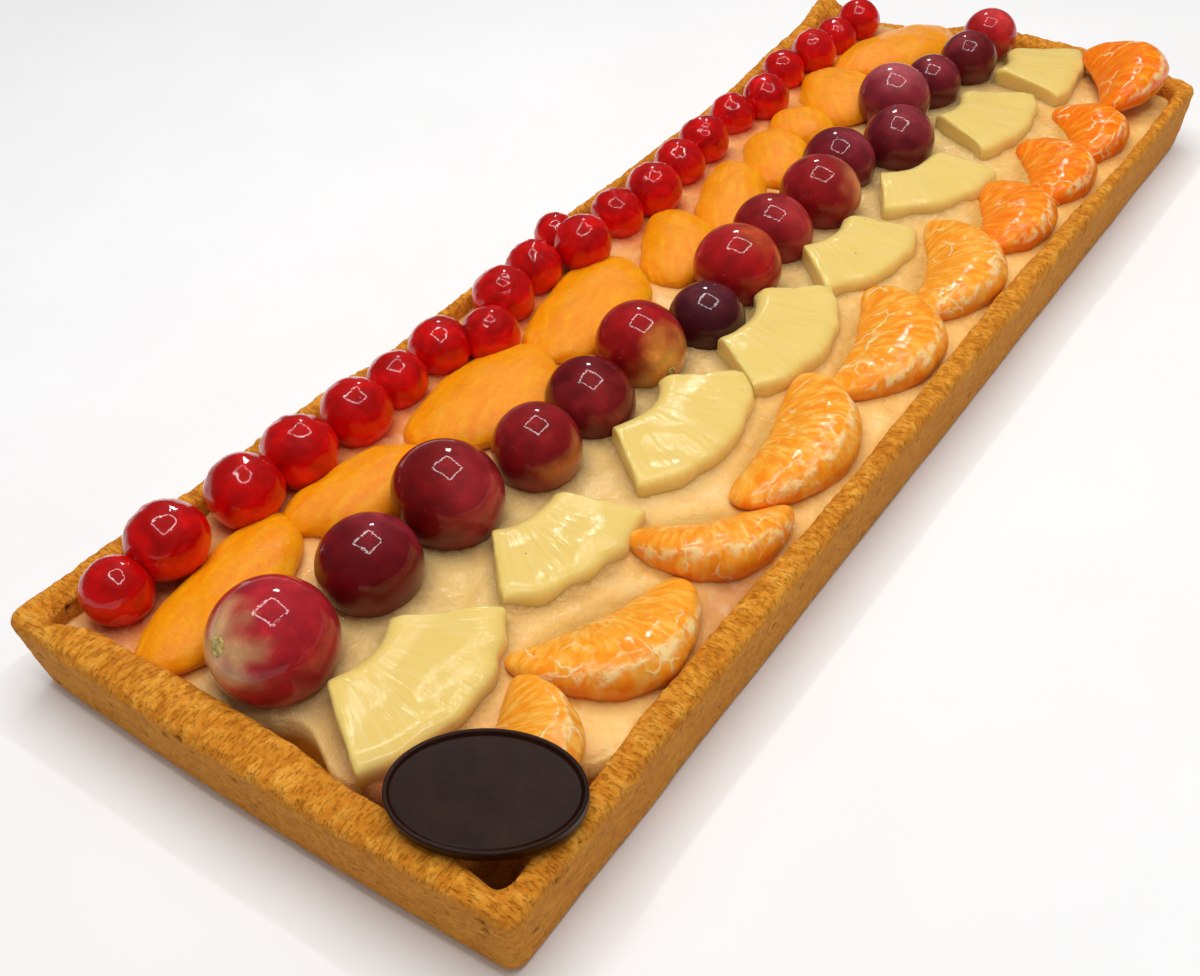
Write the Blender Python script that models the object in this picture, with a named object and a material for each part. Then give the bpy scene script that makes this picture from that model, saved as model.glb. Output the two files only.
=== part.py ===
"""A long fruit crostata: a shortcrust tray filled with custard cream, with five rows of fruit.

The tart lies with its length along Y and its near end towards -Y. Z = 0 is the flat bottom of the
crust, and X = Y = 0 is the middle of its footprint. Sizes below are in millimetres, measured across
from the middle of the two long walls. Each finished mesh is shifted to the middle of the footprint
and turned into metres.
"""

import math

import bmesh
import bpy
from mathutils import Euler, Matrix, Vector, noise

MM = 0.001
GAP = 0.4
FOOTPRINT_SHIFT = 0.8
SHARP_ANGLE = math.radians(40)

# The crust: a rectangle with upright walls, a little narrower at the bottom.
TART_LENGTH = 353.0
TART_WIDTH = 126.0
NEAR_BULGE = 1.6
FAR_BULGE = 10.4
BULGE_START = 120.0
BULGE_FULL = 160.0
LONG_WALL_START = 30.0
LONG_WALL_FULL = 52.0
RIM_HEIGHT = 20.4
FLOOR_THICKNESS = 4.0
SIDE_TAPER = 2.4
LEFT_WALL = 5.4
RIGHT_WALL = 6.4
NEAR_WALL = 9.0
FAR_WALL = 7.0
LEFT_FOLLOW = 0.25
OUTER_CORNER = 2.6
INNER_CORNER = 3.0
LONG_STEPS = 33
SHORT_STEPS = 12
CORNER_STEPS = 3

# The walls stray from a true rectangle. Each pair is a place along the wall and an offset there:
# the left wall's outer face (outwards) and rim (upwards), the right wall's inner face (outwards),
# each read along the tart, and the near wall's inner face (inwards), read across it.
LEFT_OUTSIDE = (
    (0, 1.6), (25, 1.4), (50, -0.6), (90, -1.4), (112, -2.6), (265, -2.7), (310, -0.4), (336, 1.8),
)
LEFT_RIM = ((0, 0.0), (60, -0.6), (90, -1.0), (112, -2.4), (265, -2.4), (300, -0.8), (336, 0.0))
RIGHT_INSIDE = (
    (0, 0.9), (55, -1.0), (90, -0.9), (108, 0.8), (160, 0.1), (215, -0.2), (250, 0.8), (288, 3.0),
    (322, 2.4), (340, 0.8),
)
NEAR_INSIDE = ((-57, -4.2), (-45, 0.2), (-20, 1.9), (0, 2.0), (29, -0.3), (48, -1.9), (57, -3.5))

# The cream: its level, its waves, its clearance from the crust, and its two open places beside
# the near wall, each as how far it reaches.
CREAM_LEVEL = 15.2
CREAM_WAVE = 0.9
CREAM_RIPPLE = 0.5
CREAM_EDGE_DROP = 1.6
CREAM_ROOM = 2.1
CREAM_CELLS = (8, 18)
CORNER_OPENING = (10.0, 15.0)
WALL_OPENING = 5.0
WALL_OPENING_ACROSS = 2.0
FAR_RISE = 2.0
RISE_START = 280.0
RISE_END = 340.0

# How deep the round fruit sinks into the cream.
CHERRY_SINK = 2.8
GRAPE_SINK = 5.2

# Candied cherries: along, across, diameter, and how far each is raised.
CHERRIES = (
    (18.6, -49.3, 15.0, 1.0),
    (32.0, -48.5, 17.4, 3.0),
    (53.3, -48.3, 17.2, 0.9),
    (69.4, -47.9, 17.6, 0.2),
    (87.4, -47.3, 16.8, -0.2),
    (102.0, -48.0, 14.8, 0.0),
    (117.8, -48.1, 15.0, 0.0),
    (128.2, -40.6, 14.8, 0.2),
    (142.8, -47.8, 16.0, -0.3),
    (157.0, -48.8, 14.8, 0.8),
    (170.8, -51.6, 11.6, 4.4),
    (170.6, -42.6, 15.2, 2.9),
    (191.2, -45.9, 15.0, 0.0),
    (205.6, -43.7, 16.0, 0.2),
    (223.6, -46.4, 15.0, -0.4),
    (237.4, -46.7, 14.8, 0.8),
    (257.6, -49.3, 13.9, -0.5),
    (270.0, -44.9, 14.8, 0.5),
    (290.6, -50.0, 13.8, 0.0),
    (303.0, -46.6, 14.4, 1.4),
    (318.4, -46.4, 13.6, -0.2),
    (330.8, -44.8, 13.8, 0.7),
    (17.4, 30.4, 11.4, -0.6),
)

# Red grapes: along, across, diameter across the row, stretch along their axis, turn, and raise.
GRAPES = (
    (24.8, -11.4, 25.6, 1.00, 70.0, 0.0),
    (51.2, -10.8, 21.8, 1.01, 30.0, 0.0),
    (75.0, -10.2, 24.2, 1.02, 15.0, 0.0),
    (98.6, -3.9, 20.4, 1.00, 40.0, 1.0),
    (119.8, -4.9, 20.8, 1.02, 20.0, -0.6),
    (142.0, -5.3, 22.0, 1.00, 20.0, 0.3),
    (162.2, 0.3, 18.8, 1.03, 10.0, -0.5),
    (182.4, -2.9, 21.6, 1.05, 20.0, 1.5),
    (204.2, -5.0, 20.4, 1.05, 15.0, -0.2),
    (225.6, -2.4, 21.4, 1.03, 20.0, 0.8),
    (246.4, -7.8, 20.4, 1.05, 10.0, -0.7),
    (265.3, 1.9, 20.2, 1.04, 0.0, 0.5),
    (283.4, -8.8, 20.2, 1.05, 20.0, 3.4),
    (302.2, -5.1, 17.6, 1.03, 0.0, 1.5),
    (319.6, -1.3, 17.0, 1.02, 10.0, 2.8),
    (336.4, -1.6, 16.0, 1.06, 0.0, 4.4),
)

# Apricot slices: along, across, length, width, height, turn, bend, and roll.
APRICOTS = (
    (32.0, -33.0, 42.0, 15.4, 13.0, 97.0, 2.0, -12.0),
    (70.6, -30.6, 32.0, 16.0, 12.5, 82.0, 2.0, -12.0),
    (111.0, -26.9, 38.0, 22.0, 13.0, 91.0, 3.0, -14.0),
    (154.0, -28.4, 41.0, 20.5, 13.0, 99.0, 3.0, -14.0),
    (189.6, -25.4, 30.0, 16.5, 12.5, 114.0, 3.0, -14.0),
    (219.2, -26.2, 32.0, 14.5, 12.0, 108.0, 2.0, -14.0),
    (244.4, -26.2, 25.0, 16.0, 12.0, 114.0, 2.0, -14.0),
    (264.8, -29.4, 16.5, 14.0, 11.0, 100.0, 1.5, -10.0),
    (287.6, -28.6, 29.0, 19.5, 13.0, 114.0, 3.0, -12.0),
    (322.6, -25.6, 39.0, 20.0, 12.5, 78.0, 3.0, -12.0),
)

# Pineapple pieces, each a sector of a cored ring: along, ring centre across, core radius,
# outer radius, direction, spread, thickness, and lean.
PINEAPPLES = (
    (32.6, -7.4, 13.6, 35.0, 3.0, 76.0, 9.0, 4.0),
    (84.0, -5.0, 13.6, 32.6, -14.0, 66.0, 8.5, 3.0),
    (124.8, -4.4, 13.6, 32.8, 0.0, 80.0, 8.5, 3.0),
    (164.6, -2.0, 13.8, 32.0, 5.0, 80.0, 9.0, 4.0),
    (213.4, -4.6, 14.4, 32.0, -11.0, 62.0, 8.5, 3.0),
    (260.0, 0.5, 13.8, 29.8, -28.0, 66.0, 8.5, 3.0),
    (294.0, -5.6, 13.8, 32.6, 0.0, 60.0, 8.5, 3.0),
    (324.2, -3.8, 15.0, 33.6, 10.0, 48.0, 8.5, 3.0),
)

# Mandarin segments: along, across, length, width, back thickness, turn, bend, roll, pitch, raise.
MANDARINS = (
    (32.4, 43.6, 27.0, 16.5, 14.0, 106.0, 2.0, 8.0, 8.0, 1.8),
    (63.0, 42.3, 38.0, 21.0, 15.0, 68.0, 4.0, 10.0, 0.0, 0.0),
    (97.0, 42.8, 33.0, 18.0, 14.5, 47.0, 3.0, 12.0, 0.0, 0.0),
    (135.0, 42.4, 45.0, 19.5, 15.5, 100.0, 2.0, 10.0, 0.0, 0.0),
    (178.6, 42.6, 42.5, 20.5, 15.0, 104.0, 4.0, 8.0, 0.0, 0.0),
    (215.6, 43.0, 42.5, 19.0, 15.0, 108.0, 4.0, 8.0, 0.0, 0.0),
    (247.2, 44.6, 32.0, 19.0, 14.5, 112.0, 3.0, 10.0, 0.0, 0.0),
    (276.0, 45.2, 31.0, 18.0, 14.5, 118.0, 3.0, 10.0, 0.0, 0.0),
    (302.0, 45.8, 27.0, 16.5, 14.0, 124.0, 3.0, 10.0, 0.0, 0.0),
    (330.0, 44.6, 35.0, 19.5, 15.5, 118.0, 4.0, 20.0, 0.0, 5.0),
)

# The oval chocolate plaque, propped across the near right corner.
PLAQUE_LENGTH = 35.0
PLAQUE_WIDTH = 22.6
PLAQUE_THICKNESS = 3.0
PLAQUE_BORDER = 1.1
PLAQUE_DISH = 0.5
PLAQUE_ALONG = 17.8
PLAQUE_ACROSS = 46.0
PLAQUE_HEIGHT = 25.0
PLAQUE_TILT = 14.0
PLAQUE_TURN = 30.5
PLAQUE_SEGMENTS = 24

LEFT_END = -TART_WIDTH / 2
RIGHT_END = TART_WIDTH / 2
NEAR_END = -TART_LENGTH / 2
FAR_END = TART_LENGTH / 2


def clear_scene():
    for thing in list(bpy.data.objects):
        bpy.data.objects.remove(thing, do_unlink=True)


def make_collection(name, hidden=False):
    collection = bpy.data.collections.new(name)
    bpy.context.scene.collection.children.link(collection)
    collection.hide_render = hidden
    return collection


def make_material(name, colour, roughness):
    material = bpy.data.materials.new(name)
    material.use_nodes = True
    shader = material.node_tree.nodes["Principled BSDF"]
    shader.inputs["Base Color"].default_value = (*colour, 1.0)
    shader.inputs["Roughness"].default_value = roughness
    shader.inputs["Metallic"].default_value = 0.0
    material.diffuse_color = (*colour, 1.0)
    return material


def make_mesh(bm, name):
    """Turns the bmesh, in millimetres, into a mesh in metres."""
    bmesh.ops.translate(bm, vec=(FOOTPRINT_SHIFT, 0, 0), verts=bm.verts)
    bmesh.ops.scale(bm, vec=(MM, MM, MM), verts=bm.verts)
    bmesh.ops.recalc_face_normals(bm, faces=bm.faces)
    mesh = bpy.data.meshes.new(name)
    bm.to_mesh(mesh)
    bm.free()
    return mesh


def make_object(bm, name, material, collection):
    mesh = make_mesh(bm, name)
    mesh.shade_smooth()
    mesh.set_sharp_from_angle(angle=SHARP_ANGLE)
    mesh.materials.append(material)
    thing = bpy.data.objects.new(name, mesh)
    collection.objects.link(thing)
    return thing


def make_cutter(bm, name, collection, margin=GAP):
    """A hidden copy of the bmesh, grown by the margin, that cuts the cream."""
    copy = bm.copy()
    bmesh.ops.recalc_face_normals(copy, faces=copy.faces)
    copy.normal_update()
    for vert in copy.verts:
        vert.co += vert.normal * margin * vert.calc_shell_factor()
    cutter = bpy.data.objects.new(name, make_mesh(copy, name))
    cutter.hide_render = True
    cutter.display_type = "WIRE"
    collection.objects.link(cutter)
    return cutter


def bumps(point, grain, shift):
    """Smooth unevenness from -1 to 1, whose bumps are about one grain wide."""
    return noise.noise(Vector(point) / grain + Vector((shift, 1.7 * shift, -shift)))


def ramp(value, start, end):
    """0 before start, 1 after end, and a smooth change between them."""
    share = min(max((value - start) / (end - start), 0.0), 1.0)
    return share * share * (3 - 2 * share)


def follow(line, position):
    """The offset at this position on a line that is given as pairs of place and offset."""
    for (start, low), (end, high) in zip(line, line[1:]):
        if position <= end:
            return low + (high - low) * ramp(position, start, end)
    return line[-1][1]


def end_bulge(x, y):
    """How far the two short ends bow outwards at this place."""
    bow = 1 - (x / RIGHT_END) ** 2
    far = FAR_BULGE * ramp(y, BULGE_START, BULGE_FULL)
    near = NEAR_BULGE * ramp(-y, BULGE_START, BULGE_FULL)
    return bow * (far - near)


def rectangle_ring(left, right, near, far, radius):
    """Points round a rectangle with round corners: every ring has the same number of them."""
    corners = (
        (right - radius, near + radius, -90),
        (right - radius, far - radius, 0),
        (left + radius, far - radius, 90),
        (left + radius, near + radius, 180),
    )
    sides = (LONG_STEPS, SHORT_STEPS, LONG_STEPS, SHORT_STEPS)
    ring = []
    for index, (x, y, start) in enumerate(corners):
        for step in range(CORNER_STEPS + 1):
            angle = math.radians(start + 90 * step / CORNER_STEPS)
            ring.append(Vector((x + radius * math.cos(angle), y + radius * math.sin(angle), 0)))
        next_x, next_y, next_start = corners[(index + 1) % 4]
        angle = math.radians(next_start)
        begin = ring[-1]
        end = Vector((next_x + radius * math.cos(angle), next_y + radius * math.sin(angle), 0))
        for step in range(1, sides[index]):
            ring.append(begin.lerp(end, step / sides[index]))
    for point in ring:
        point.y += end_bulge(point.x, point.y)
    return ring


def stray(point, inner):
    """Moves a point of a wall off the true rectangle: inner is 0 for outer faces, 1 for inner."""
    along = point.y - NEAR_END
    left = ramp(-point.x, LONG_WALL_START, LONG_WALL_FULL)
    right = ramp(point.x, LONG_WALL_START, LONG_WALL_FULL)
    near = 1 - ramp(along, 14, 40)
    point.x -= left * follow(LEFT_OUTSIDE, along) * (1 - inner * (1 - LEFT_FOLLOW))
    point.x += right * inner * follow(RIGHT_INSIDE, along)
    point.y += near * inner * follow(NEAR_INSIDE, point.x)


def rim_height(x, y):
    """The height of the rim: lumpy, broken low at the far left, with a spur at that corner."""
    height = RIM_HEIGHT + 0.55 * bumps((x, y, 0), 16, 3.1) + 0.3 * bumps((x, y, 0), 6, 8.4)
    height += ramp(-x, 50, 56) * follow(LEFT_RIM, y - NEAR_END)
    far = ramp(y, FAR_END - 22, FAR_END - 14)
    broken = ramp(x, -58, -50) * (1 - ramp(x, -26, -12))
    spur = ramp(-x, 57, 61)
    return height - 5.0 * far * broken + 2.6 * ramp(y, FAR_END - 20, FAR_END - 14) * spur


def crust_ring(inset_share, inset, drop, height, radius):
    """One ring of the crust's section. The inset share of 1 is the inner face of each wall."""
    left = LEFT_END + inset_share * LEFT_WALL + inset
    right = RIGHT_END - inset_share * RIGHT_WALL - inset
    near = NEAR_END + NEAR_BULGE + inset_share * NEAR_WALL + inset
    far = FAR_END - FAR_BULGE - inset_share * FAR_WALL - inset
    ring = rectangle_ring(left, right, near, far, radius)
    for point in ring:
        stray(point, inset_share)
        top = rim_height(point.x, point.y)
        point.z = height if drop is None else top - drop
    return ring


def crumble(ring, out_lumps, up_lumps, shift):
    """Moves the ring's points in and out, and up and down, as a baked crust is uneven."""
    count = len(ring)
    moved = []
    for index, point in enumerate(ring):
        along = ring[(index + 1) % count] - ring[index - 1]
        outward = Vector((along.y, -along.x, 0)).normalized()
        amount = out_lumps * (bumps(point, 11, shift) + 0.6 * bumps(point, 5, shift + 4))
        lift = up_lumps * bumps(point, 4.5, shift + 9)
        moved.append(point + outward * amount + Vector((0, 0, lift)))
    return moved


def make_crust(material, collection):
    """The tray: one skin that runs from the bottom, up the outside, over the rim and down inside."""
    taper = SIDE_TAPER
    rings = (
        crust_ring(0, taper + 0.9, None, 0.0, OUTER_CORNER),
        crumble(crust_ring(0, taper - 0.1, None, 1.1, OUTER_CORNER), 0.25, 0, 1.0),
        crumble(crust_ring(0, taper * 0.62, None, 7.2, OUTER_CORNER), 0.45, 0, 2.0),
        crumble(crust_ring(0, taper * 0.28, None, 13.4, OUTER_CORNER), 0.5, 0, 3.0),
        crumble(crust_ring(0, 0.05, 1.9, 0, OUTER_CORNER), 0.35, 0.2, 4.0),
        crumble(crust_ring(0.1, 0.25, 0.3, 0, OUTER_CORNER), 0.4, 0.4, 5.0),
        crumble(crust_ring(0.5, 0, 0.0, 0, INNER_CORNER), 0.3, 0.5, 6.0),
        crumble(crust_ring(0.9, -0.2, 0.5, 0, INNER_CORNER), 0.6, 0.4, 7.0),
        crumble(crust_ring(1, 0.1, 2.2, 0, INNER_CORNER), 0.7, 0.2, 8.0),
        crust_ring(1, 0.7, None, FLOOR_THICKNESS, INNER_CORNER),
    )
    bm = bmesh.new()
    edges = []
    loops = []
    for ring in rings:
        verts = [bm.verts.new(point) for point in ring]
        loop = [bm.edges.new((verts[i - 1], verts[i])) for i in range(len(verts))]
        edges.extend(loop)
        loops.append(loop)
    for below, above in zip(loops, loops[1:]):
        bmesh.ops.bridge_loops(bm, edges=below + above)
    bottom = bmesh.ops.contextual_create(bm, geom=loops[0])["faces"]
    floor = bmesh.ops.contextual_create(bm, geom=loops[-1])["faces"]
    bmesh.ops.poke(bm, faces=bottom + floor)
    return make_object(bm, "crust", material, collection)


def place(along, across, height):
    """A point of the tart: along is measured from the near end, across from the middle line."""
    return Vector((across, NEAR_END + along, height))


def pose(bm, centre, turn, roll=0.0, pitch=0.0):
    """Rolls the piece about its own length, pitches it, turns it and moves it into place."""
    angles = Euler((math.radians(roll), math.radians(pitch), math.radians(turn)))
    matrix = Matrix.Translation(centre) @ angles.to_matrix().to_4x4()
    bmesh.ops.transform(bm, matrix=matrix, verts=bm.verts)


def cream_level(along):
    """The cream's level: it is piled a little higher at the far end."""
    return CREAM_LEVEL + FAR_RISE * ramp(along, RISE_START, RISE_END)


def uneven(bm, amount, grain, shift):
    """Dents a closed form a little, along its own normals."""
    bm.normal_update()
    moves = [vert.normal * amount * bumps(vert.co, grain, shift) for vert in bm.verts]
    for vert, move in zip(bm.verts, moves):
        vert.co += move


def ball(diameter, stretch, segments, rings, shift):
    bm = bmesh.new()
    bmesh.ops.create_uvsphere(bm, u_segments=segments, v_segments=rings, radius=diameter / 2)
    bmesh.ops.scale(bm, vec=(stretch, 1, 1), verts=bm.verts)
    uneven(bm, 0.04 * diameter / 2, diameter / 2, shift)
    return bm


def fruit_slice(length, width, height, bend, inner_share, under_share, segments=8, rings=7):
    """A crescent slice along X: its back is at +Y and its inner edge, thinner by the share, at -Y."""
    bm = bmesh.new()
    upright = Matrix.Rotation(math.radians(90), 4, "Y")
    bmesh.ops.create_uvsphere(
        bm, u_segments=segments, v_segments=rings, radius=1, matrix=upright
    )
    for vert in bm.verts:
        along, back, up = vert.co
        thickness = inner_share + (1 - inner_share) * (back + 1) / 2
        vert.co.x = along * length / 2
        vert.co.y = back * width / 2 - bend * along**2
        vert.co.z = up * thickness * height / 2 * (under_share if up < 0 else 1)
    return bm


def make_cherry(index, item):
    along, across, diameter, lift = item
    bm = ball(diameter, 1.0, 8, 6, 2.3 * index)
    height = cream_level(along) - CHERRY_SINK + diameter / 2 + lift
    pose(bm, place(along, across, height), 37 * index)
    return bm


def make_grape(index, item):
    along, across, diameter, stretch, turn, lift = item
    bm = ball(diameter, stretch, 10, 6, 3.7 * index)
    height = cream_level(along) - GRAPE_SINK + diameter / 2 + lift
    pose(bm, place(along, across, height), turn)
    return bm


def make_apricot(index, item):
    along, across, length, width, height, turn, bend, roll = item
    bm = fruit_slice(length, width, height, bend, 0.8, 0.7)
    uneven(bm, 0.5, 9, 5.1 * index)
    pose(bm, place(along, across, cream_level(along) + 1.6), turn + 180, -roll)
    return bm


def make_pineapple(index, item):
    along, across, core, outer, direction, spread, thickness, lean = item
    bm = bmesh.new()
    half = thickness / 2
    edge = 1.0
    outline = (
        (core + edge, -half),
        (outer - edge, -half),
        (outer, -half + edge),
        (outer, half - edge),
        (outer - edge, half),
        (core + edge, half),
        (core, half - edge),
        (core, -half + edge),
    )
    verts = [bm.verts.new((x, 0, z)) for x, z in outline]
    start = bm.faces.new(verts)
    turned = Matrix.Rotation(math.radians(-spread / 2), 4, "Z")
    bmesh.ops.transform(bm, matrix=turned, verts=bm.verts)
    bmesh.ops.spin(
        bm, geom=[start] + start.edges[:] + verts, cent=(0, 0, 0), axis=(0, 0, 1),
        angle=math.radians(spread), steps=5, use_duplicate=False,
    )
    uneven(bm, 0.5, 8, 4.3 * index)
    middle = Vector(((core + outer) / 2, 0, 0))
    bmesh.ops.translate(bm, vec=-middle, verts=bm.verts)
    bmesh.ops.rotate(
        bm, cent=(0, 0, 0), matrix=Matrix.Rotation(math.radians(lean), 3, "Y"), verts=bm.verts
    )
    heading = Matrix.Rotation(math.radians(direction), 3, "Z")
    height = cream_level(along) + half - 2.0
    centre = place(along, across, height) + heading @ middle
    pose(bm, centre, direction)
    return bm


def make_mandarin(index, item):
    along, across, length, width, thickness, turn, bend, roll, pitch, lift = item
    bm = fruit_slice(length, width, thickness, bend, 0.3, 1.0)
    uneven(bm, 0.35, 8, 6.1 * index)
    pose(bm, place(along, across, cream_level(along) + 2.4 + lift), turn + 180, roll, pitch)
    return bm


def make_plaque():
    """An oval plate with a raised, sloping border."""
    bm = bmesh.new()
    bmesh.ops.create_cone(
        bm, cap_ends=True, segments=PLAQUE_SEGMENTS, radius1=1, radius2=1, depth=PLAQUE_THICKNESS
    )
    bmesh.ops.scale(bm, vec=(PLAQUE_LENGTH / 2, PLAQUE_WIDTH / 2, 1), verts=bm.verts)
    top = max(bm.faces, key=lambda face: face.calc_center_median().z)
    bmesh.ops.inset_region(bm, faces=[top], thickness=PLAQUE_BORDER, depth=0)
    bmesh.ops.translate(bm, vec=(0, 0, -PLAQUE_DISH), verts=top.verts)
    tilt = Matrix.Rotation(math.radians(PLAQUE_TILT), 4, "X")
    turn = Matrix.Rotation(math.radians(PLAQUE_TURN), 4, "Z")
    centre = Matrix.Translation(place(PLAQUE_ALONG, PLAQUE_ACROSS, PLAQUE_HEIGHT))
    bmesh.ops.transform(bm, matrix=centre @ turn @ tilt, verts=bm.verts)
    return bm


def cream_height(x, y, edge):
    """The cream's surface: gently wavy, and rounded down towards its edge."""
    wave = CREAM_WAVE * bumps((x, y, 0), 30, 12.0) + CREAM_RIPPLE * bumps((x, y, 0), 11, 14.0)
    return cream_level(y - NEAR_END) + wave - CREAM_EDGE_DROP * edge


def make_cream(material, collection, cutters):
    """A slab that fills the tray, short of the near right corner, with a socket for each fruit."""
    across_cells, along_cells = CREAM_CELLS
    bm = bmesh.new()
    bmesh.ops.create_grid(bm, x_segments=across_cells, y_segments=along_cells, size=1)
    near = NEAR_END + NEAR_BULGE + NEAR_WALL + CREAM_ROOM
    far = FAR_END - FAR_BULGE - FAR_WALL - CREAM_ROOM
    left = LEFT_END + LEFT_WALL + CREAM_ROOM
    right = RIGHT_END - RIGHT_WALL - CREAM_ROOM
    for vert in bm.verts:
        edge = max(abs(vert.co.x), abs(vert.co.y)) > 0.999
        point = Vector(((left + right) / 2, (near + far) / 2, 0))
        point += Vector((vert.co.x * (right - left) / 2, vert.co.y * (far - near) / 2, 0))
        corner = ramp(point.x, 14, 46)
        point.x -= CORNER_OPENING[0] * ramp(point.x, 30, 54) * (1 - ramp(point.y, near, near + 26))
        point.y += CORNER_OPENING[1] * corner * (1 - ramp(point.y, near, near + 60))
        beside = math.exp(-(((point.x - WALL_OPENING_ACROSS) / 10) ** 2))
        point.y += WALL_OPENING * beside * (1 - ramp(point.y, near, near + 30))
        point.y += end_bulge(point.x, point.y) * 0.92
        stray(point, 1.0)
        point.z = cream_height(point.x, point.y, edge)
        vert.co = point
    top = bm.faces[:]
    grown = bmesh.ops.extrude_face_region(bm, geom=top)
    for item in grown["geom"]:
        if isinstance(item, bmesh.types.BMVert):
            item.co.z = FLOOR_THICKNESS + GAP
    bmesh.ops.recalc_face_normals(bm, faces=bm.faces)
    bottom = [face for face in bm.faces if face.calc_center_median().z < FLOOR_THICKNESS + 2 * GAP]
    inside = [edge for edge in bm.edges if all(face in bottom for face in edge.link_faces)]
    bmesh.ops.dissolve_edges(bm, edges=inside, use_verts=False)
    cream = make_object(bm, "cream", material, collection)
    cut = cream.modifiers.new("sockets", "BOOLEAN")
    cut.operation = "DIFFERENCE"
    cut.solver = "EXACT"
    cut.operand_type = "COLLECTION"
    cut.collection = cutters
    return cream


def make_cherry_pair(first, material, collection, joined, cutters):
    """Two neighbours that touch are one solid. The last cherry has no neighbour."""
    numbers = [first, first + 1][: len(CHERRIES) - first + 1]
    solids = []
    for number in numbers:
        bm = make_cherry(number, CHERRIES[number - 1])
        make_cutter(bm, f"cherry_socket_{number:02d}", cutters)
        home = joined if solids else collection
        solids.append(make_object(bm, f"cherry_{number:02d}", material, home))
    if len(solids) == 2:
        solids[0].name = f"cherry_{first:02d}_{first + 1:02d}"
        solids[1].hide_render = True
        solids[1].display_type = "WIRE"
        join = solids[0].modifiers.new("join", "BOOLEAN")
        join.operation = "UNION"
        join.solver = "EXACT"
        join.object = solids[1]


def main():
    clear_scene()
    tart = make_collection("fruit_crostata")
    cutters = make_collection("cutters", hidden=True)
    joined = make_collection("joined", hidden=True)
    crust = make_material("crust", (0.60, 0.31, 0.10), 0.85)
    custard = make_material("cream", (0.83, 0.62, 0.33), 0.35)
    cherry = make_material("cherry", (0.62, 0.01, 0.01), 0.12)
    grape = make_material("grape", (0.20, 0.01, 0.02), 0.15)
    apricot = make_material("apricot", (0.95, 0.40, 0.02), 0.3)
    pineapple = make_material("pineapple", (0.90, 0.76, 0.30), 0.4)
    mandarin = make_material("mandarin", (0.95, 0.38, 0.03), 0.3)
    chocolate = make_material("chocolate", (0.05, 0.02, 0.015), 0.35)

    make_crust(crust, tart)
    rows = (
        ("grape", GRAPES, make_grape, grape),
        ("apricot", APRICOTS, make_apricot, apricot),
        ("pineapple", PINEAPPLES, make_pineapple, pineapple),
        ("mandarin", MANDARINS, make_mandarin, mandarin),
    )
    for kind, items, make, material in rows:
        for index, item in enumerate(items, start=1):
            bm = make(index, item)
            make_cutter(bm, f"{kind}_socket_{index:02d}", cutters)
            make_object(bm, f"{kind}_{index:02d}", material, tart)
    plaque = make_plaque()
    make_cutter(plaque, "plaque_socket", cutters)
    make_object(plaque, "plaque", chocolate, tart)
    for first in range(1, len(CHERRIES) + 1, 2):
        make_cherry_pair(first, cherry, tart, joined, cutters)
    make_cream(custard, tart, cutters)


main()
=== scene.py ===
# %% [markdown]
# A fruit crostata, dressed for a portrait. The CAD model gives every solid its true place and size:
# a shortcrust tray, custard cream, and five rows of fruit. This lesson replaces each plain solid by a
# piece with the fine surface of the real food, and gives each one a material made from nodes.
# Blender works in metres. The food is small, so its sizes are written in millimetres and multiplied
# by MM. The places of the lamps and of the camera are in metres.

import functools
import math

import bmesh
import bpy
import numpy as np
from mathutils import Matrix, Vector, noise
from mathutils.bvhtree import BVHTree


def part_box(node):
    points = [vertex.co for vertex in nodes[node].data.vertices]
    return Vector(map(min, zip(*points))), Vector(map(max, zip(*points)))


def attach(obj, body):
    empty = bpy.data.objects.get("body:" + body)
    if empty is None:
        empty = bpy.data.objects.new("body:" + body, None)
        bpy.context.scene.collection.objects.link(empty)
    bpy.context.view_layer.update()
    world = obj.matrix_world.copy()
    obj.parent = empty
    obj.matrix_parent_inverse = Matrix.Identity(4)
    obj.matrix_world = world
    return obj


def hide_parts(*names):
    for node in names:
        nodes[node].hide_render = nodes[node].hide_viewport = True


MM = 0.001
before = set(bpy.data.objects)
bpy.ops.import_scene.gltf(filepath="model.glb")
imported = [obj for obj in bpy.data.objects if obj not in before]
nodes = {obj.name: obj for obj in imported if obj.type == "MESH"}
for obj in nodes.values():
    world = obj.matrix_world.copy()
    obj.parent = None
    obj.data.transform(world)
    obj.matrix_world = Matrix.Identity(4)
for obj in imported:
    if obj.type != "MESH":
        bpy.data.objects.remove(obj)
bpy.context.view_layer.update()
# Where the near end of the tart lies along the tray, in millimetres.
NEAR_END = -176.5
TART_LENGTH = 353

# %% [markdown]
# A material is a small graph of nodes. One helper adds a node, sets its options, and either fills in
# its sockets or links them. With it a finish reads like a recipe: where the pattern is measured, what
# noise it uses, which colours it mixes. Patterns are measured in Object coordinates, which stay with
# the piece whatever the camera does.


# %% Material helpers
def add(tree, kind, inputs=None, **options):
    """Adds a node. An input is either a value or another node's output socket."""
    made = tree.nodes.new(kind)
    for option, value in options.items():
        setattr(made, option, value)
    for name, value in (inputs or {}).items():
        if isinstance(value, bpy.types.NodeSocket):
            tree.links.new(value, made.inputs[name])
        else:
            made.inputs[name].default_value = value
    return made


def start_material(name, values):
    """A new material and its shader, with the values that are the same all over the surface."""
    material = bpy.data.materials.new(name)
    material.use_nodes = True
    shader = material.node_tree.nodes["Principled BSDF"]
    for socket, value in values.items():
        shader.inputs[socket].default_value = value
    return material, material.node_tree, shader


def place_of(tree):
    """Where a point lies on its piece, in metres."""
    return add(tree, "ShaderNodeTexCoord").outputs["Object"]


def attribute(tree, name, output="Fac"):
    """A value or colour that the mesh carries at each vertex."""
    return add(tree, "ShaderNodeAttribute", attribute_name=name).outputs[output]


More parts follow.
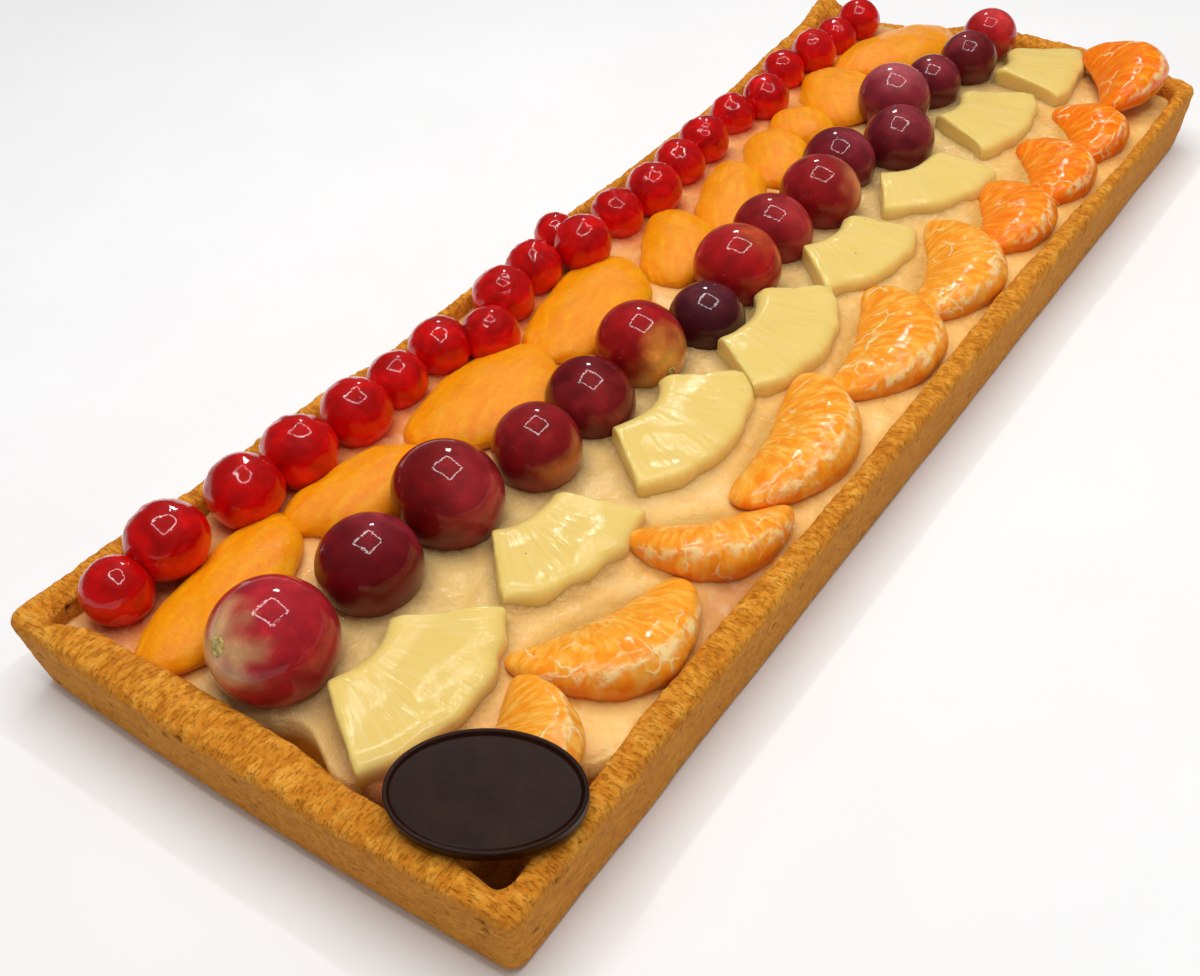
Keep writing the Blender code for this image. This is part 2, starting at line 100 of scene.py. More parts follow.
def cloud(tree, where, size, detail=3.0, rough=0.55, twist=0.0):
    """Soft noise from 0 to 1, whose blots are about as wide as the size in millimetres."""
    inputs = {"Vector": where, "Scale": 1 / (size * MM), "Detail": detail,
              "Roughness": rough, "Distortion": twist}
    return add(tree, "ShaderNodeTexNoise", inputs).outputs["Fac"]


def steps(tree, factor, stops):
    """Colours along a ramp: each stop is a position and a colour."""
    ramp = add(tree, "ShaderNodeValToRGB", {"Fac": factor})
    elements = ramp.color_ramp.elements
    while len(elements) < len(stops):
        elements.new(0.5)
    for element, (position, colour) in zip(elements, stops):
        element.position = position
        element.color = (*colour, 1.0)
    return ramp.outputs["Color"]


def window(tree, factor, low, high):
    """0 below low, 1 above high."""
    inputs = {"Value": factor, "From Min": low, "From Max": high}
    return add(tree, "ShaderNodeMapRange", inputs).outputs["Result"]


def times(tree, first, second):
    return add(tree, "ShaderNodeMath", {0: first, 1: second}, operation="MULTIPLY").outputs[0]


def blend_colour(tree, factor, first, second, how="MIX"):
    """Mixes two colours. A colour is three numbers, or another node's output."""
    mix = add(tree, "ShaderNodeMix", data_type="RGBA", blend_type=how)
    for socket, value in ((mix.inputs[0], factor), (mix.inputs[6], first), (mix.inputs[7], second)):
        if isinstance(value, bpy.types.NodeSocket):
            tree.links.new(value, socket)
        else:
            socket.default_value = (*value, 1.0) if isinstance(value, tuple) else value
    return mix.outputs[2]


def raise_bumps(tree, shader, height, strength, depth):
    """Bumps for relief that is too fine for the mesh. The depth is in millimetres."""
    inputs = {"Height": height, "Strength": strength, "Distance": depth * MM}
    bump = add(tree, "ShaderNodeBump", inputs)
    tree.links.new(bump.outputs["Normal"], shader.inputs["Normal"])
    if shader.inputs["Coat Weight"].default_value > 0:
        tree.links.new(bump.outputs["Normal"], shader.inputs["Coat Normal"])


# %% [markdown]
# Pieces are made as bmeshes and finished in one place: the normals are set outwards, the faces are
# shaded smooth, the piece is told which body it rides on, and the CAD solids it stands for are hidden.
# A Displace modifier could raise the surfaces, but it reads one texture at a time. `push` moves the
# vertices along their normals by any function, so relief and colour can share the same numbers.


# %% Piece helpers
def smooth_step(value, low, high):
    share = min(max((value - low) / (high - low), 0.0), 1.0)
    return share * share * (3 - 2 * share)


def bumps(point, grain, shift=0.0):
    """Noise from -1 to 1. The point and the grain are in millimetres."""
    return noise.noise(Vector(point) / grain + Vector((shift, 1.7 * shift, -shift)))


def soften(bm, verts, turns):
    """Moves each vertex half way to the middle of its neighbours, a few times over."""
    for _ in range(turns):
        bmesh.ops.smooth_vert(
            bm, verts=verts, factor=0.5, use_axis_x=True, use_axis_y=True, use_axis_z=True
        )


def push(bm, relief):
    """Moves each vertex along its normal by relief(point, normal), in millimetres."""
    bm.normal_update()
    moves = [vert.normal * relief(vert.co / MM, vert.normal) * MM for vert in bm.verts]
    for vert, move in zip(bm.verts, moves):
        vert.co += move


def paint(bm, name, colour_at):
    """Stores a colour at each vertex, from colour_at(point in millimetres, normal)."""
    layer = bm.verts.layers.float_color.new(name)
    bm.normal_update()
    for vert in bm.verts:
        vert[layer] = (*colour_at(vert.co / MM, vert.normal), 1.0)


def mix3(first, second, share):
    return tuple(a + (b - a) * share for a, b in zip(first, second))


def merged_copy(node_name):
    """A copy of a CAD solid with its loose triangles joined into one skin."""
    bm = bmesh.new()
    bm.from_mesh(nodes[node_name].data)
    bmesh.ops.remove_doubles(bm, verts=bm.verts, dist=0.001 * MM)
    return bm


def fit_to_box(bm, low, high, grow=(1.0, 1.0, 1.0)):
    """Stretches the piece to the CAD solid's box, times grow."""
    corners = np.array([vert.co for vert in bm.verts])
    now_low, now_high = Vector(corners.min(0)), Vector(corners.max(0))
    middle, target = (now_low + now_high) / 2, (low + high) / 2
    size = [(high[i] - low[i]) / (now_high[i] - now_low[i]) * grow[i] for i in range(3)]
    bmesh.ops.translate(bm, vec=-middle, verts=bm.verts)
    bmesh.ops.scale(bm, vec=size, verts=bm.verts)
    bmesh.ops.translate(bm, vec=target, verts=bm.verts)


def rounded_copy(node_name, levels, grow=(1.0, 1.0, 1.0)):
    """A CAD solid rounded by subdivision and brought back to its own size, times grow."""
    coarse = merged_copy(node_name)
    mesh = bpy.data.meshes.new("rounding")
    coarse.to_mesh(mesh)
    coarse.free()
    helper = bpy.data.objects.new("rounding", mesh)
    bpy.context.scene.collection.objects.link(helper)
    rounding = helper.modifiers.new("rounding", "SUBSURF")
    rounding.levels = levels
    rounding.render_levels = levels
    bm = bmesh.new()
    bm.from_object(helper, bpy.context.evaluated_depsgraph_get())
    bpy.data.objects.remove(helper)
    fit_to_box(bm, *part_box(node_name), grow)
    return bm


def add_piece(bm, name, material, replaced=()):
    bmesh.ops.recalc_face_normals(bm, faces=bm.faces)
    mesh = bpy.data.meshes.new(name)
    bm.to_mesh(mesh)
    bm.free()
    mesh.shade_smooth()
    mesh.materials.append(material)
    piece = bpy.data.objects.new(name, mesh)
    bpy.context.scene.collection.objects.link(piece)
    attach(piece, "root")
    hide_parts(*replaced)
    print(name, len(mesh.polygons), "faces")
    return piece


def node_names(kind):
    return sorted(name for name in nodes if name.startswith(kind))


# %% [markdown]
# The crust is baked shortcrust: golden, with a torn, sandy top and small pits in its sides. A picture
# of a crust wouldn't fit these walls, so the colour is worked out from the relief, with painted shade:
# the dips are painted darker than the grains beside them. `relief` says how far a point stands out,
# `pit_shade` marks the holes, which are painted nearly black as shade, `side` is 1 on the walls, and
# `end` tells the short walls from the long ones, so that the cracks on top can run across either.


# %% Crust material
def make_crust_material():
    material, tree, shader = start_material(
        "baked_shortcrust", {"Roughness": 0.75, "Specular IOR Level": 0.15}
    )
    where = place_of(tree)
    relief = attribute(tree, "relief")
    grain = cloud(tree, where, 1.1, 4.0, 0.65)
    # Painted shade: the colour follows the height of the relief, and the dips are painted darker than
    # the grains.
    height = add(tree, "ShaderNodeMath", {0: relief, 1: grain}, operation="ADD").outputs[0]
    colour = steps(tree, window(tree, height, 0.55, 1.45), (
        (0.0, (0.50, 0.155, 0.008)), (0.3, (0.66, 0.225, 0.014)),
        (0.58, (0.78, 0.300, 0.024)), (1.0, (0.92, 0.440, 0.062)),
    ))
    toast = window(tree, cloud(tree, where, 22.0, 3.0), 0.42, 0.66)
    colour = blend_colour(tree, times(tree, toast, 0.30), colour, (0.58, 0.180, 0.012))
    side = attribute(tree, "side")
    colour = blend_colour(tree, times(tree, side, 0.35), colour, (0.62, 0.265, 0.035))
    # Pores in the walls: the bumps below push them in, and they are painted dark as shade.
    flat = add(tree, "ShaderNodeMapping", {"Vector": where, "Scale": (1.0, 1.0, 2.4)}).outputs[0]
    shaded_pores = times(tree, window(tree, cloud(tree, flat, 1.3, 3.0, 0.6), 0.57, 0.70), side)
    colour = blend_colour(tree, times(tree, shaded_pores, 0.50), colour, (0.36, 0.110, 0.010))
    spots = window(tree, cloud(tree, where, 1.7, 2.0), 0.70, 0.76)
    colour = blend_colour(tree, times(tree, spots, 0.5), colour, (0.20, 0.055, 0.010))
    # Painted shade: the pits in the walls are painted nearly black.
    colour = blend_colour(tree, attribute(tree, "pit_shade"), colour, (0.085, 0.022, 0.006))
    # Cracks across the top: the bumps below push them in, and they are painted darker as shade.
    along = add(tree, "ShaderNodeMapping", {"Vector": where, "Scale": (0.5, 1.9, 0.8)}).outputs[0]
    across = add(tree, "ShaderNodeMapping", {"Vector": where, "Scale": (1.9, 0.5, 0.8)}).outputs[0]
    cuts = add(tree, "ShaderNodeMix", {
        0: attribute(tree, "end"), 2: cloud(tree, along, 1.0, 2.0), 3: cloud(tree, across, 1.0, 2.0),
    }).outputs[0]
    top = window(tree, side, 1.0, 0.0)
    cuts = times(tree, window(tree, cuts, 0.46, 0.34), top)
    colour = blend_colour(tree, times(tree, cuts, 0.4), colour, (0.46, 0.130, 0.006))
    tree.links.new(colour, shader.inputs["Base Color"])
    holes = add(tree, "ShaderNodeMath", {0: shaded_pores, 1: cuts}, operation="ADD").outputs[0]
    fine = add(tree, "ShaderNodeMath", {0: cloud(tree, where, 0.7, 5.0, 0.7), 1: holes},
               operation="SUBTRACT").outputs[0]
    raise_bumps(tree, shader, fine, 0.8, 0.5)
    return material


crust_finish = make_crust_material()

# %% [markdown]
# The CAD solid already has the walls, the lumps and the broken rim, but its facets are long and flat.
# A remesh would round off the rim's corners. Halving the long edges a few times keeps every corner,
# and then the facets are softened, and grain, cracks and pits are pushed into the mesh.

# %% Crust relief
EDGE_LENGTH = 1.3
HALVINGS = 5
FLOOR_TOP = 4.0
LONG_WALL = 51.0


def is_cap(face):
    """Is this one of the large flat faces, under the crust or on the floor of the tray?"""
    height = face.calc_center_median().z / MM
    return abs(face.normal.z) > 0.99 and (height < 0.2 or abs(height - FLOOR_TOP) < 0.2)


def dice(bm, length, halvings):
    """Halves the walls' longest edges a few times."""
    for _ in range(halvings):
        bm.normal_update()
        walls = {edge for face in bm.faces if not is_cap(face) for edge in face.edges}
        long_edges = [edge for edge in walls if edge.calc_length() > length * MM]
        bmesh.ops.subdivide_edges(bm, edges=long_edges, cuts=1)
        open_faces = [face for face in bm.faces if len(face.verts) > 3 and not is_cap(face)]
        bmesh.ops.triangulate(bm, faces=open_faces, quad_method="SHORT_EDGE")


def tears(point):
    """Short cracks that run across the wall, as a knife leaves them in the raw dough."""
    if abs(point.x) > LONG_WALL:
        stretched = Vector((point.x / 5, point.y / 1.3, point.z / 3))
    else:
        stretched = Vector((point.x / 1.3, point.y / 5, point.z / 3))
    return noise.noise(stretched)


def pit_at(point):
    """1 in the middle of a small hole, 0 away from one; the hole is pushed in, and painted dark as
    shade.
    Most cells of the pattern have none.
    """
    distances, centres = noise.voronoi(point / 5.2)
    chosen = noise.cell(centres[0] * 7.3) > 0.25
    return smooth_step(0.16 - distances[0], 0.0, 0.08) if chosen else 0.0


def crust_grain(point):
    fine = 0.5 * bumps(point, 2.4, 1.0) + 0.5 * bumps(point, 1.2, 2.0)
    return fine + 0.25 * bumps(point, 6.0, 3.0)


def crust_relief(point, normal):
    kept_flat = smooth_step(point.z, 0.15, 1.5)
    inside = 1.0 - 0.6 * smooth_step(9.0 - point.z, 0.0, 3.0)
    on_top = smooth_step(normal.z, 0.3, 0.8)
    lift = 0.30 * crust_grain(point) + on_top * 0.50 * tears(point)
    return kept_flat * inside * (lift - 0.75 * pit_at(point) * (1 - on_top))


def make_crust():
    bm = merged_copy("crust")
    dice(bm, EDGE_LENGTH, HALVINGS)
    soften(bm, [vert for vert in bm.verts if vert.co.z > 0.3 * MM], 3)
    bm.normal_update()
    layers = [bm.verts.layers.float.new(name) for name in ("relief", "pit_shade", "side", "end")]
    relief, pit_shade, side, end = layers
    for vert in bm.verts:
        point = vert.co / MM
        top = smooth_step(vert.normal.z, 0.3, 0.8)
        # `relief` only sets the colour: the lower a point, the more painted shade it gets.
        vert[relief] = 0.5 + 0.5 * crust_grain(point) + 0.4 * top * tears(point)
        # `pit_shade` paints the pits in the walls dark, as shade.
        vert[pit_shade] = pit_at(point) * (1 - top)
        vert[side] = smooth_step(0.5 - vert.normal.z, 0.0, 0.6)
        vert[end] = 1.0 - smooth_step(abs(point.x), LONG_WALL - 1, LONG_WALL + 1)
    push(bm, crust_relief)
    return add_piece(bm, "crust_baked", crust_finish, ["crust"])


crust = make_crust()

# %% [markdown]
# The cream is custard under clear jelly. A second, glassy sheet above the custard would be true to
# life, but thin clear layers render slowly and noisily. One surface does both: a matt custard with
# wisps and blots, under a smooth coat. The mesh carries its stains. It also carries `jelly`, which is
# 1 beside a fruit, where the jelly lies thick and streaky, and fades away from it.


# %% Cream material
def make_cream_material():
    material, tree, shader = start_material("custard_in_jelly", {
        "Roughness": 0.40, "Specular IOR Level": 0.3, "Coat Weight": 1.0, "Coat Roughness": 0.035,
        "Subsurface Weight": 0.25, "Subsurface Radius": (1.0, 0.6, 0.25), "Subsurface Scale": 0.003,
    })
    where = place_of(tree)
    stain = attribute(tree, "stain", "Color")
    wisps = window(tree, cloud(tree, where, 5.0, 5.0, 0.6, 1.2), 0.45, 0.75)
    colour = blend_colour(tree, times(tree, wisps, 0.30), stain, (0.97, 0.78, 0.42))
    hairs = window(tree, cloud(tree, where, 1.6, 5.0, 0.7, 2.5), 0.58, 0.68)
    hairs = times(tree, hairs, attribute(tree, "jelly"))
    colour = blend_colour(tree, times(tree, hairs, 0.5), colour, (0.92, 0.80, 0.62))
    dark = window(tree, cloud(tree, where, 9.0, 3.0, 0.5, 0.6), 0.5, 0.8)
    colour = blend_colour(tree, times(tree, dark, 0.35), colour, (0.74, 0.42, 0.13), "MULTIPLY")
    tree.links.new(colour, shader.inputs["Base Color"])
    streaks = times(tree, cloud(tree, where, 1.3, 5.0, 0.65, 1.5), attribute(tree, "jelly"))
    streaks = times(tree, streaks, 1.8)
    height = add(tree, "ShaderNodeMath", {0: cloud(tree, where, 4.0, 3.0), 1: streaks},
                 operation="ADD").outputs[0]
    raise_bumps(tree, shader, height, 0.75, 1.0)
    return material


cream_finish = make_cream_material()

# %% [markdown]
# The fruit shapes the cream: cherries leave pink in it, apricots and mandarins orange, and between
# the grapes the jelly looks grey. So each point of the cream has to know how far it is from each
# kind of fruit. A search tree answers that quickly, even for tens of thousands of points.

# %% Nearest fruit
FRUIT_KINDS = ("cherry", "apricot", "grape", "pineapple", "mandarin")


def fruit_tree(kind):
    """A search tree over all the CAD solids of one kind of fruit."""
    corners = []
    faces = []
    for name in node_names(kind):
        mesh = nodes[name].data
        base = len(corners)
        corners.extend(vert.co.copy() for vert in mesh.vertices)
        faces.extend([base + index for index in face.vertices] for face in mesh.polygons)
    return BVHTree.FromPolygons(corners, faces)


trees = {kind: fruit_tree(kind) for kind in FRUIT_KINDS}
print("search trees for", ", ".join(trees))


def distance_to(kind, point):
    """How far the point is from the nearest fruit of the kind, both in millimetres, at most 30."""
    found = trees[kind].find_nearest(point * MM, 30 * MM)
    return 30.0 if found[0] is None else found[3] / MM


# %% [markdown]
# The cream lies a few millimetres below the rim and reaches the walls, which are lumpy and bowed. A
# Boolean with the tray would fit it, but would leave long triangles. Here a grid of fine squares is
# stretched between the walls, which rays shot at the crust find. The nearest fruit raises each point,
# as jelly creeps up what it touches, and thin threads of it run out from the fruit.

# %% Cream values
# The level, the size of a square, about how much the grid covers, where the rays start, and how low
# the cream reaches.
CREAM_LEVEL = 15.2
CREAM_CELL = 0.75
GRID_WIDTH, GRID_LENGTH = 114, 336
PROBE_WIDTH, PROBE_LENGTH, PROBE_HEIGHT = 50.0, 160, 13.5
BOTTOM = 4.6
# How high the jelly climbs each kind of fruit, how far out it starts to, and how high a thread is.
JELLY_CLIMB = {"cherry": 1.6, "apricot": 2.2, "grape": 1.6, "pineapple": 3.0, "mandarin": 1.4}
JELLY_REACH = 1.8
JELLY_THREAD = 0.55


# %% Walls round the cream
walls = BVHTree.FromPolygons(
    [vert.co.copy() for vert in crust.data.vertices],
    [list(face.vertices) for face in crust.data.polygons],
)


def wall_distance(start, direction):
    """How far it is from a point inside the tray to the wall, in millimetres."""
    hit = walls.ray_cast(Vector(start) * MM, Vector(direction))
    return hit[3] / MM


@functools.cache
def sides_at(v):
    """Where the left and right walls are, for a row of the grid."""
    probe = (0, v * PROBE_LENGTH, PROBE_HEIGHT)
    return -wall_distance(probe, (-1, 0, 0)), wall_distance(probe, (1, 0, 0))


@functools.cache
def ends_at(u):
    """Where the near and far walls are, for a column of the grid."""
    probe = (u * PROBE_WIDTH, 0, PROBE_HEIGHT)
    return -wall_distance(probe, (0, -1, 0)), wall_distance(probe, (0, 1, 0))


# %% Cream surface
def cream_level(y):
    return CREAM_LEVEL + 2.0 * smooth_step(y - NEAR_END, 280, 340)


def cream_stain(point):
    """The colour of custard under jelly that its neighbours have stained."""
    cherry, apricot, grape, pineapple, mandarin = (distance_to(kind, point) for kind in FRUIT_KINDS)
    colour = (0.97, 0.66, 0.22)
    colour = mix3(colour, (0.72, 0.47, 0.16), math.exp(-pineapple / 5))
    colour = mix3(colour, (0.97, 0.42, 0.045), 0.8 * math.exp(-mandarin / 5))
    colour = mix3(colour, (0.96, 0.31, 0.006), math.exp(-apricot / 5))
    colour = mix3(colour, (0.50, 0.31, 0.14), 0.8 * math.exp(-grape / 4.5))
    colour = mix3(colour, (0.72, 0.07, 0.022), 0.95 * math.exp(-cherry / 5))
    pool = smooth_step(point.x, 44, 52) * math.exp(-(((point.y + 88) / 16) ** 2))
    return mix3(colour, (0.62, 0.24, 0.07), 0.8 * pool)


def cream_place(u, v):
    """Where a point of the grid lies in the tray. The cream stops short of the near right corner,
    and draws back a little from the middle of the near wall. u and v run from -1 to 1."""
    left, right = sides_at(v)
    near, far = ends_at(u)
    x = left + (right - left) * (u + 1) / 2
    y = near + (far - near) * (v + 1) / 2
    near_share = 1 - smooth_step(y - NEAR_END, 10, 70)
    corner = smooth_step(x, 14, 46)
    x -= 11 * smooth_step(x, 30, 54) * (1 - smooth_step(y - NEAR_END, 10, 38))
    y += 15 * corner * near_share
    y += 6 * math.exp(-((x - 3) / 9) ** 2) * (1 - smooth_step(y - NEAR_END, 8, 40))
    return Vector((x, y, cream_level(y)))


def cream_relief(point, edge):
    """Waves, the climb of the jelly, and a drop at the walls, where the edge is 0."""
    flat = (point.x, point.y, 0)
    away = {kind: distance_to(kind, point) for kind in FRUIT_KINDS}
    climb = max(JELLY_CLIMB[kind] * math.exp(-away[kind] / JELLY_REACH) for kind in away)
    thread = (1 - abs(bumps(flat, 2.6, 16.0))) ** 5
    climb += JELLY_THREAD * thread * math.exp(-min(away.values()) / 4)
    wave = 0.7 * bumps(flat, 24, 12.0) + 0.45 * bumps(flat, 8, 14.0) + 0.25 * bumps(flat, 3.5, 15.0)
    drop = 1 - smooth_step(edge, 0.0, 0.05)
    return wave - drop + climb


def stain_cream(bm):
    stain = bm.verts.layers.float_color.new("stain")
    jelly = bm.verts.layers.float.new("jelly")
    for vert in bm.verts:
        point = vert.co / MM
        vert[stain] = (*cream_stain(point), 1.0)
        nearest = min(distance_to(kind, point) for kind in FRUIT_KINDS)
        vert[jelly] = math.exp(-nearest / 3)


def close_below(bm, height):
    """Draws the border of a sheet down to a height and closes it with one flat face."""
    border = [edge for edge in bm.edges if edge.is_boundary]
    grown = bmesh.ops.extrude_edge_only(bm, edges=border)["geom"]
    for item in grown:
        if isinstance(item, bmesh.types.BMVert):
            item.co.z = height * MM
    lower = [edge for edge in grown if isinstance(edge, bmesh.types.BMEdge) and edge.is_boundary]
    bmesh.ops.contextual_create(bm, geom=lower)


def make_cream():
    bm = bmesh.new()
    columns, rows = int(GRID_WIDTH / CREAM_CELL), int(GRID_LENGTH / CREAM_CELL)
    bmesh.ops.create_grid(bm, x_segments=columns, y_segments=rows, size=1)
    for vert in bm.verts:
        u, v = round(vert.co.x, 4), round(vert.co.y, 4)
        point = cream_place(u, v)
        edge = min(1 - abs(u), 0.4 * (1 - abs(v)))
        point.z += cream_relief(point, edge)
        vert.co = point * MM
    stain_cream(bm)
    close_below(bm, BOTTOM)
    add_piece(bm, "cream_custard", cream_finish, ["cream"])


make_cream()

# %% [markdown]
# Candied cherries are clear, wet and a very full red. Glass with red inside would be closest, but it
# needs many bounces of light. Subsurface scattering under a smooth coat of syrup gives the same glow
# sooner. `deep` is 1 on top of a cherry, where the colour is painted darker as shade, which leaves a
# painted glow lower down, where light that passes through the fruit comes out.


# %% Cherry material
def make_cherry_material():
    material, tree, shader = start_material("candied_cherry", {
        "Roughness": 0.4, "Specular IOR Level": 0.1,
        "Coat Weight": 1.0, "Coat Roughness": 0.03, "Coat IOR": 1.45,
        "Subsurface Weight": 0.55, "Subsurface Radius": (1.0, 0.05, 0.03), "Subsurface Scale": 0.005,
    })
    where = place_of(tree)
    depth = cloud(tree, where, 6.0, 3.0, 0.5, 0.8)
    deep = attribute(tree, "deep")
    # Painted shade on top: `deep` darkens the colour there, which leaves a painted glow lower down.
    depth = add(tree, "ShaderNodeMath", {0: depth, 1: times(tree, deep, 0.30)},
                operation="SUBTRACT").outputs[0]
    colour = steps(tree, window(tree, depth, 0.1, 0.7), (
        (0.0, (0.38, 0.0008, 0.0006)), (0.35, (0.54, 0.0010, 0.0008)),
        (0.65, (0.72, 0.0020, 0.0016)), (1.0, (0.88, 0.009, 0.007)),
    ))
    tree.links.new(colour, shader.inputs["Base Color"])
    raise_bumps(tree, shader, cloud(tree, where, 2.4, 2.0, 0.5, 0.4), 0.08, 0.5)
    return material


cherry_finish = make_cherry_material()


# %% [markdown]
# Neighbours touch, and the CAD joins them in pairs, so the two balls of a pair are found by fitting a
# sphere to each half. Each is a fresh ball of its own, because a wrinkled skin needs even quads.
# Some cherries are smooth and some have folds, which the seed of each one decides.

# %% Cherries
def fit_sphere(points):
    """The centre and radius of the sphere that lies closest to the points."""
    points = np.array(points)
    table = np.column_stack((2 * points, np.ones(len(points))))
    answer = np.linalg.lstsq(table, (points**2).sum(1), rcond=None)[0]
    centre = answer[:3]
    return centre, math.sqrt(answer[3] + centre @ centre)


def balls_of(node_name, count):
    """Centres and radii of the one or two balls in a CAD solid."""
    points = np.array([vert.co for vert in nodes[node_name].data.vertices])
    points = np.unique(points.round(7), axis=0)
    if count == 1:
        return [fit_sphere(points)]
    spread = points - points.mean(0)
    axis = np.linalg.svd(spread, full_matrices=False)[2][0]
    share = spread @ axis
    return [fit_sphere(points[share < -0.1 * MM]), fit_sphere(points[share > 0.1 * MM])]


def cherry_shape(centre, radius, seed):
    bm = bmesh.new()
    bmesh.ops.create_uvsphere(bm, u_segments=48, v_segments=28, radius=radius)
    size = radius / MM
    wrinkled = 0.5 + 0.5 * noise.noise(Vector((seed, 0.5, 0.5)) * 1.37)

    def relief(point, normal):
        lump = 0.05 * size * bumps(point, size, seed)
        fold = abs(bumps(point, size * 0.42, seed + 5))
        return lump - wrinkled * 0.09 * size * (1 - fold) ** 4 + 0.03 * bumps(point, 1.2, seed)

    push(bm, relief)
    turned = Matrix.Rotation(seed * 1.3, 4, "X") @ Matrix.Rotation(seed * 0.7, 4, "Y")
    bmesh.ops.transform(bm, matrix=Matrix.Translation(Vector(centre)) @ turned, verts=bm.verts)
    # `deep` is 1 on top, where the material paints shade.
    deep = bm.verts.layers.float.new("deep")
    for vert in bm.verts:
        vert[deep] = smooth_step((vert.co - Vector(centre)).z / radius, -0.3, 0.9)
    return bm


def join(parts):
    """Puts several bmeshes into one."""
    whole = bmesh.new()
    for part in parts:
        mesh = bpy.data.meshes.new("part")
        part.to_mesh(mesh)
        part.free()
        whole.from_mesh(mesh)
        bpy.data.meshes.remove(mesh)
    return whole


seed = 0
for name in node_names("cherry"):
    numbers = name.split("_")[1:]
    parts = []
    for centre, radius in balls_of(name, len(numbers)):
        seed += 1
        parts.append(cherry_shape(centre, radius * 1.02, float(seed)))
    add_piece(join(parts), name.replace("cherry", "candied_cherry"), cherry_finish, [name])

# %% [markdown]
# Each grape has its own colour, from pale red to nearly black. Sixteen materials could hold those,
# but one that reads the skin's colour from the mesh is easier to keep in tune. Jelly makes them
# shine, so the coat is smooth and the skin under it is not.


# %% Grape material
def make_grape_material():
    material, tree, shader = start_material("grape_skin_in_jelly", {
        "Roughness": 0.5, "Specular IOR Level": 0.1,
        "Coat Weight": 1.0, "Coat Roughness": 0.035, "Coat IOR": 1.38,
        "Subsurface Weight": 0.18, "Subsurface Radius": (1.0, 0.2, 0.15), "Subsurface Scale": 0.003,
    })
    where = place_of(tree)
    skin = attribute(tree, "skin", "Color")
    veins = window(tree, cloud(tree, where, 3.0, 5.0, 0.6, 1.5), 0.50, 0.80)
    colour = blend_colour(tree, times(tree, veins, 0.60), skin, (1.7, 1.6, 1.6), "MULTIPLY")
    dots = window(tree, cloud(tree, where, 0.9, 2.0), 0.70, 0.76)
    colour = blend_colour(tree, times(tree, dots, 0.12), colour, (0.40, 0.10, 0.06))
    tree.links.new(colour, shader.inputs["Base Color"])
    raise_bumps(tree, shader, cloud(tree, where, 3.5, 3.0, 0.5, 0.5), 0.18, 0.5)
    return material


grape_finish = make_grape_material()

# %% [markdown]
# A grape is an oval ball, about as large as its CAD solid, with soft dents. It is painted with a
# main colour, a second colour on one side, and soft mottling.

# %% Grapes
# Main colour, second colour, the side it is on (across, along, up), and how far it spreads.
GRAPE_SKINS = (
    ((0.38, 0.012, 0.020), (0.60, 0.33, 0.15), (-0.16, -0.84, 0.46), 0.30),
    ((0.14, 0.003, 0.006), (0.25, 0.015, 0.026), (0.2, 0.6, 0.6), 0.4),
    ((0.17, 0.003, 0.004), (0.32, 0.018, 0.024), (0.9, 0.0, 0.4), 0.4),
    ((0.22, 0.006, 0.008), (0.44, 0.130, 0.026), (1.0, -0.2, -0.1), 0.22),
    ((0.12, 0.002, 0.004), (0.24, 0.012, 0.014), (0.5, -0.5, 0.5), 0.4),
    ((0.31, 0.004, 0.005), (0.72, 0.320, 0.050), (0.94, -0.25, -0.2), 0.45),
    ((0.05, 0.004, 0.008), (0.10, 0.014, 0.022), (0.0, 0.0, 1.0), 0.4),
    ((0.35, 0.006, 0.007), (0.46, 0.060, 0.018), (0.5, 0.2, 0.9), 0.25),
    ((0.24, 0.007, 0.010), (0.40, 0.028, 0.028), (0.6, 0.2, 0.5), 0.4),
    ((0.25, 0.006, 0.008), (0.60, 0.190, 0.070), (0.7, 0.6, 0.3), 0.40),
    ((0.15, 0.006, 0.012), (0.26, 0.028, 0.040), (0.4, 0.4, 0.6), 0.4),
    ((0.13, 0.006, 0.012), (0.24, 0.026, 0.034), (0.3, 0.0, 0.9), 0.4),
    ((0.22, 0.016, 0.026), (0.40, 0.075, 0.090), (0.0, 0.2, 1.0), 0.5),
    ((0.12, 0.006, 0.012), (0.22, 0.022, 0.030), (0.3, 0.0, 0.9), 0.4),
    ((0.12, 0.006, 0.009), (0.22, 0.022, 0.030), (-0.3, 0.0, 0.9), 0.4),
    ((0.40, 0.009, 0.012), (0.58, 0.040, 0.040), (0.3, 0.3, 0.8), 0.5),
)


def make_grape(name, index):
    low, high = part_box(name)
    main, second, direction, spread = GRAPE_SKINS[index]
    direction = Vector(direction).normalized()
    bm = bmesh.new()
    bmesh.ops.create_uvsphere(bm, u_segments=56, v_segments=34, radius=1)
    turn = Matrix.Rotation(math.radians(90), 4, "Y") @ Matrix.Rotation(index * 0.9, 4, "Z")
    bmesh.ops.transform(bm, matrix=turn, verts=bm.verts)
    fit_to_box(bm, low, high, (1.02, 1.02, 1.02))
    size = (high - low).length / 2 / MM
    push(bm, lambda point, normal: 0.022 * size * bumps(point, size, index + 0.5))

    def skin(point, normal):
        facing = normal.dot(direction) + 0.30 * bumps(point, 4.0, index)
        share = smooth_step(facing, 1 - 1.5 * spread, 1.1)
        mottle = 1 + 0.35 * bumps(point, 3.0, index + 9)
        colour = mix3(main, second, share)
        return tuple(channel * mottle for channel in colour)

    paint(bm, "skin", skin)
    add_piece(bm, name.replace("grape", "red_grape"), grape_finish, [name])


for index, name in enumerate(node_names("grape")):
    make_grape(name, index)

# %% [markdown]
# Where a grape sat on its stem it keeps a small scar: a raised, olive ring round a woody dot.
# Two grapes turn theirs to the viewer. Paint alone would look flat, so each scar is a little disc,
# spun from a short profile and laid on the grape's skin, and it stands a hair above it.


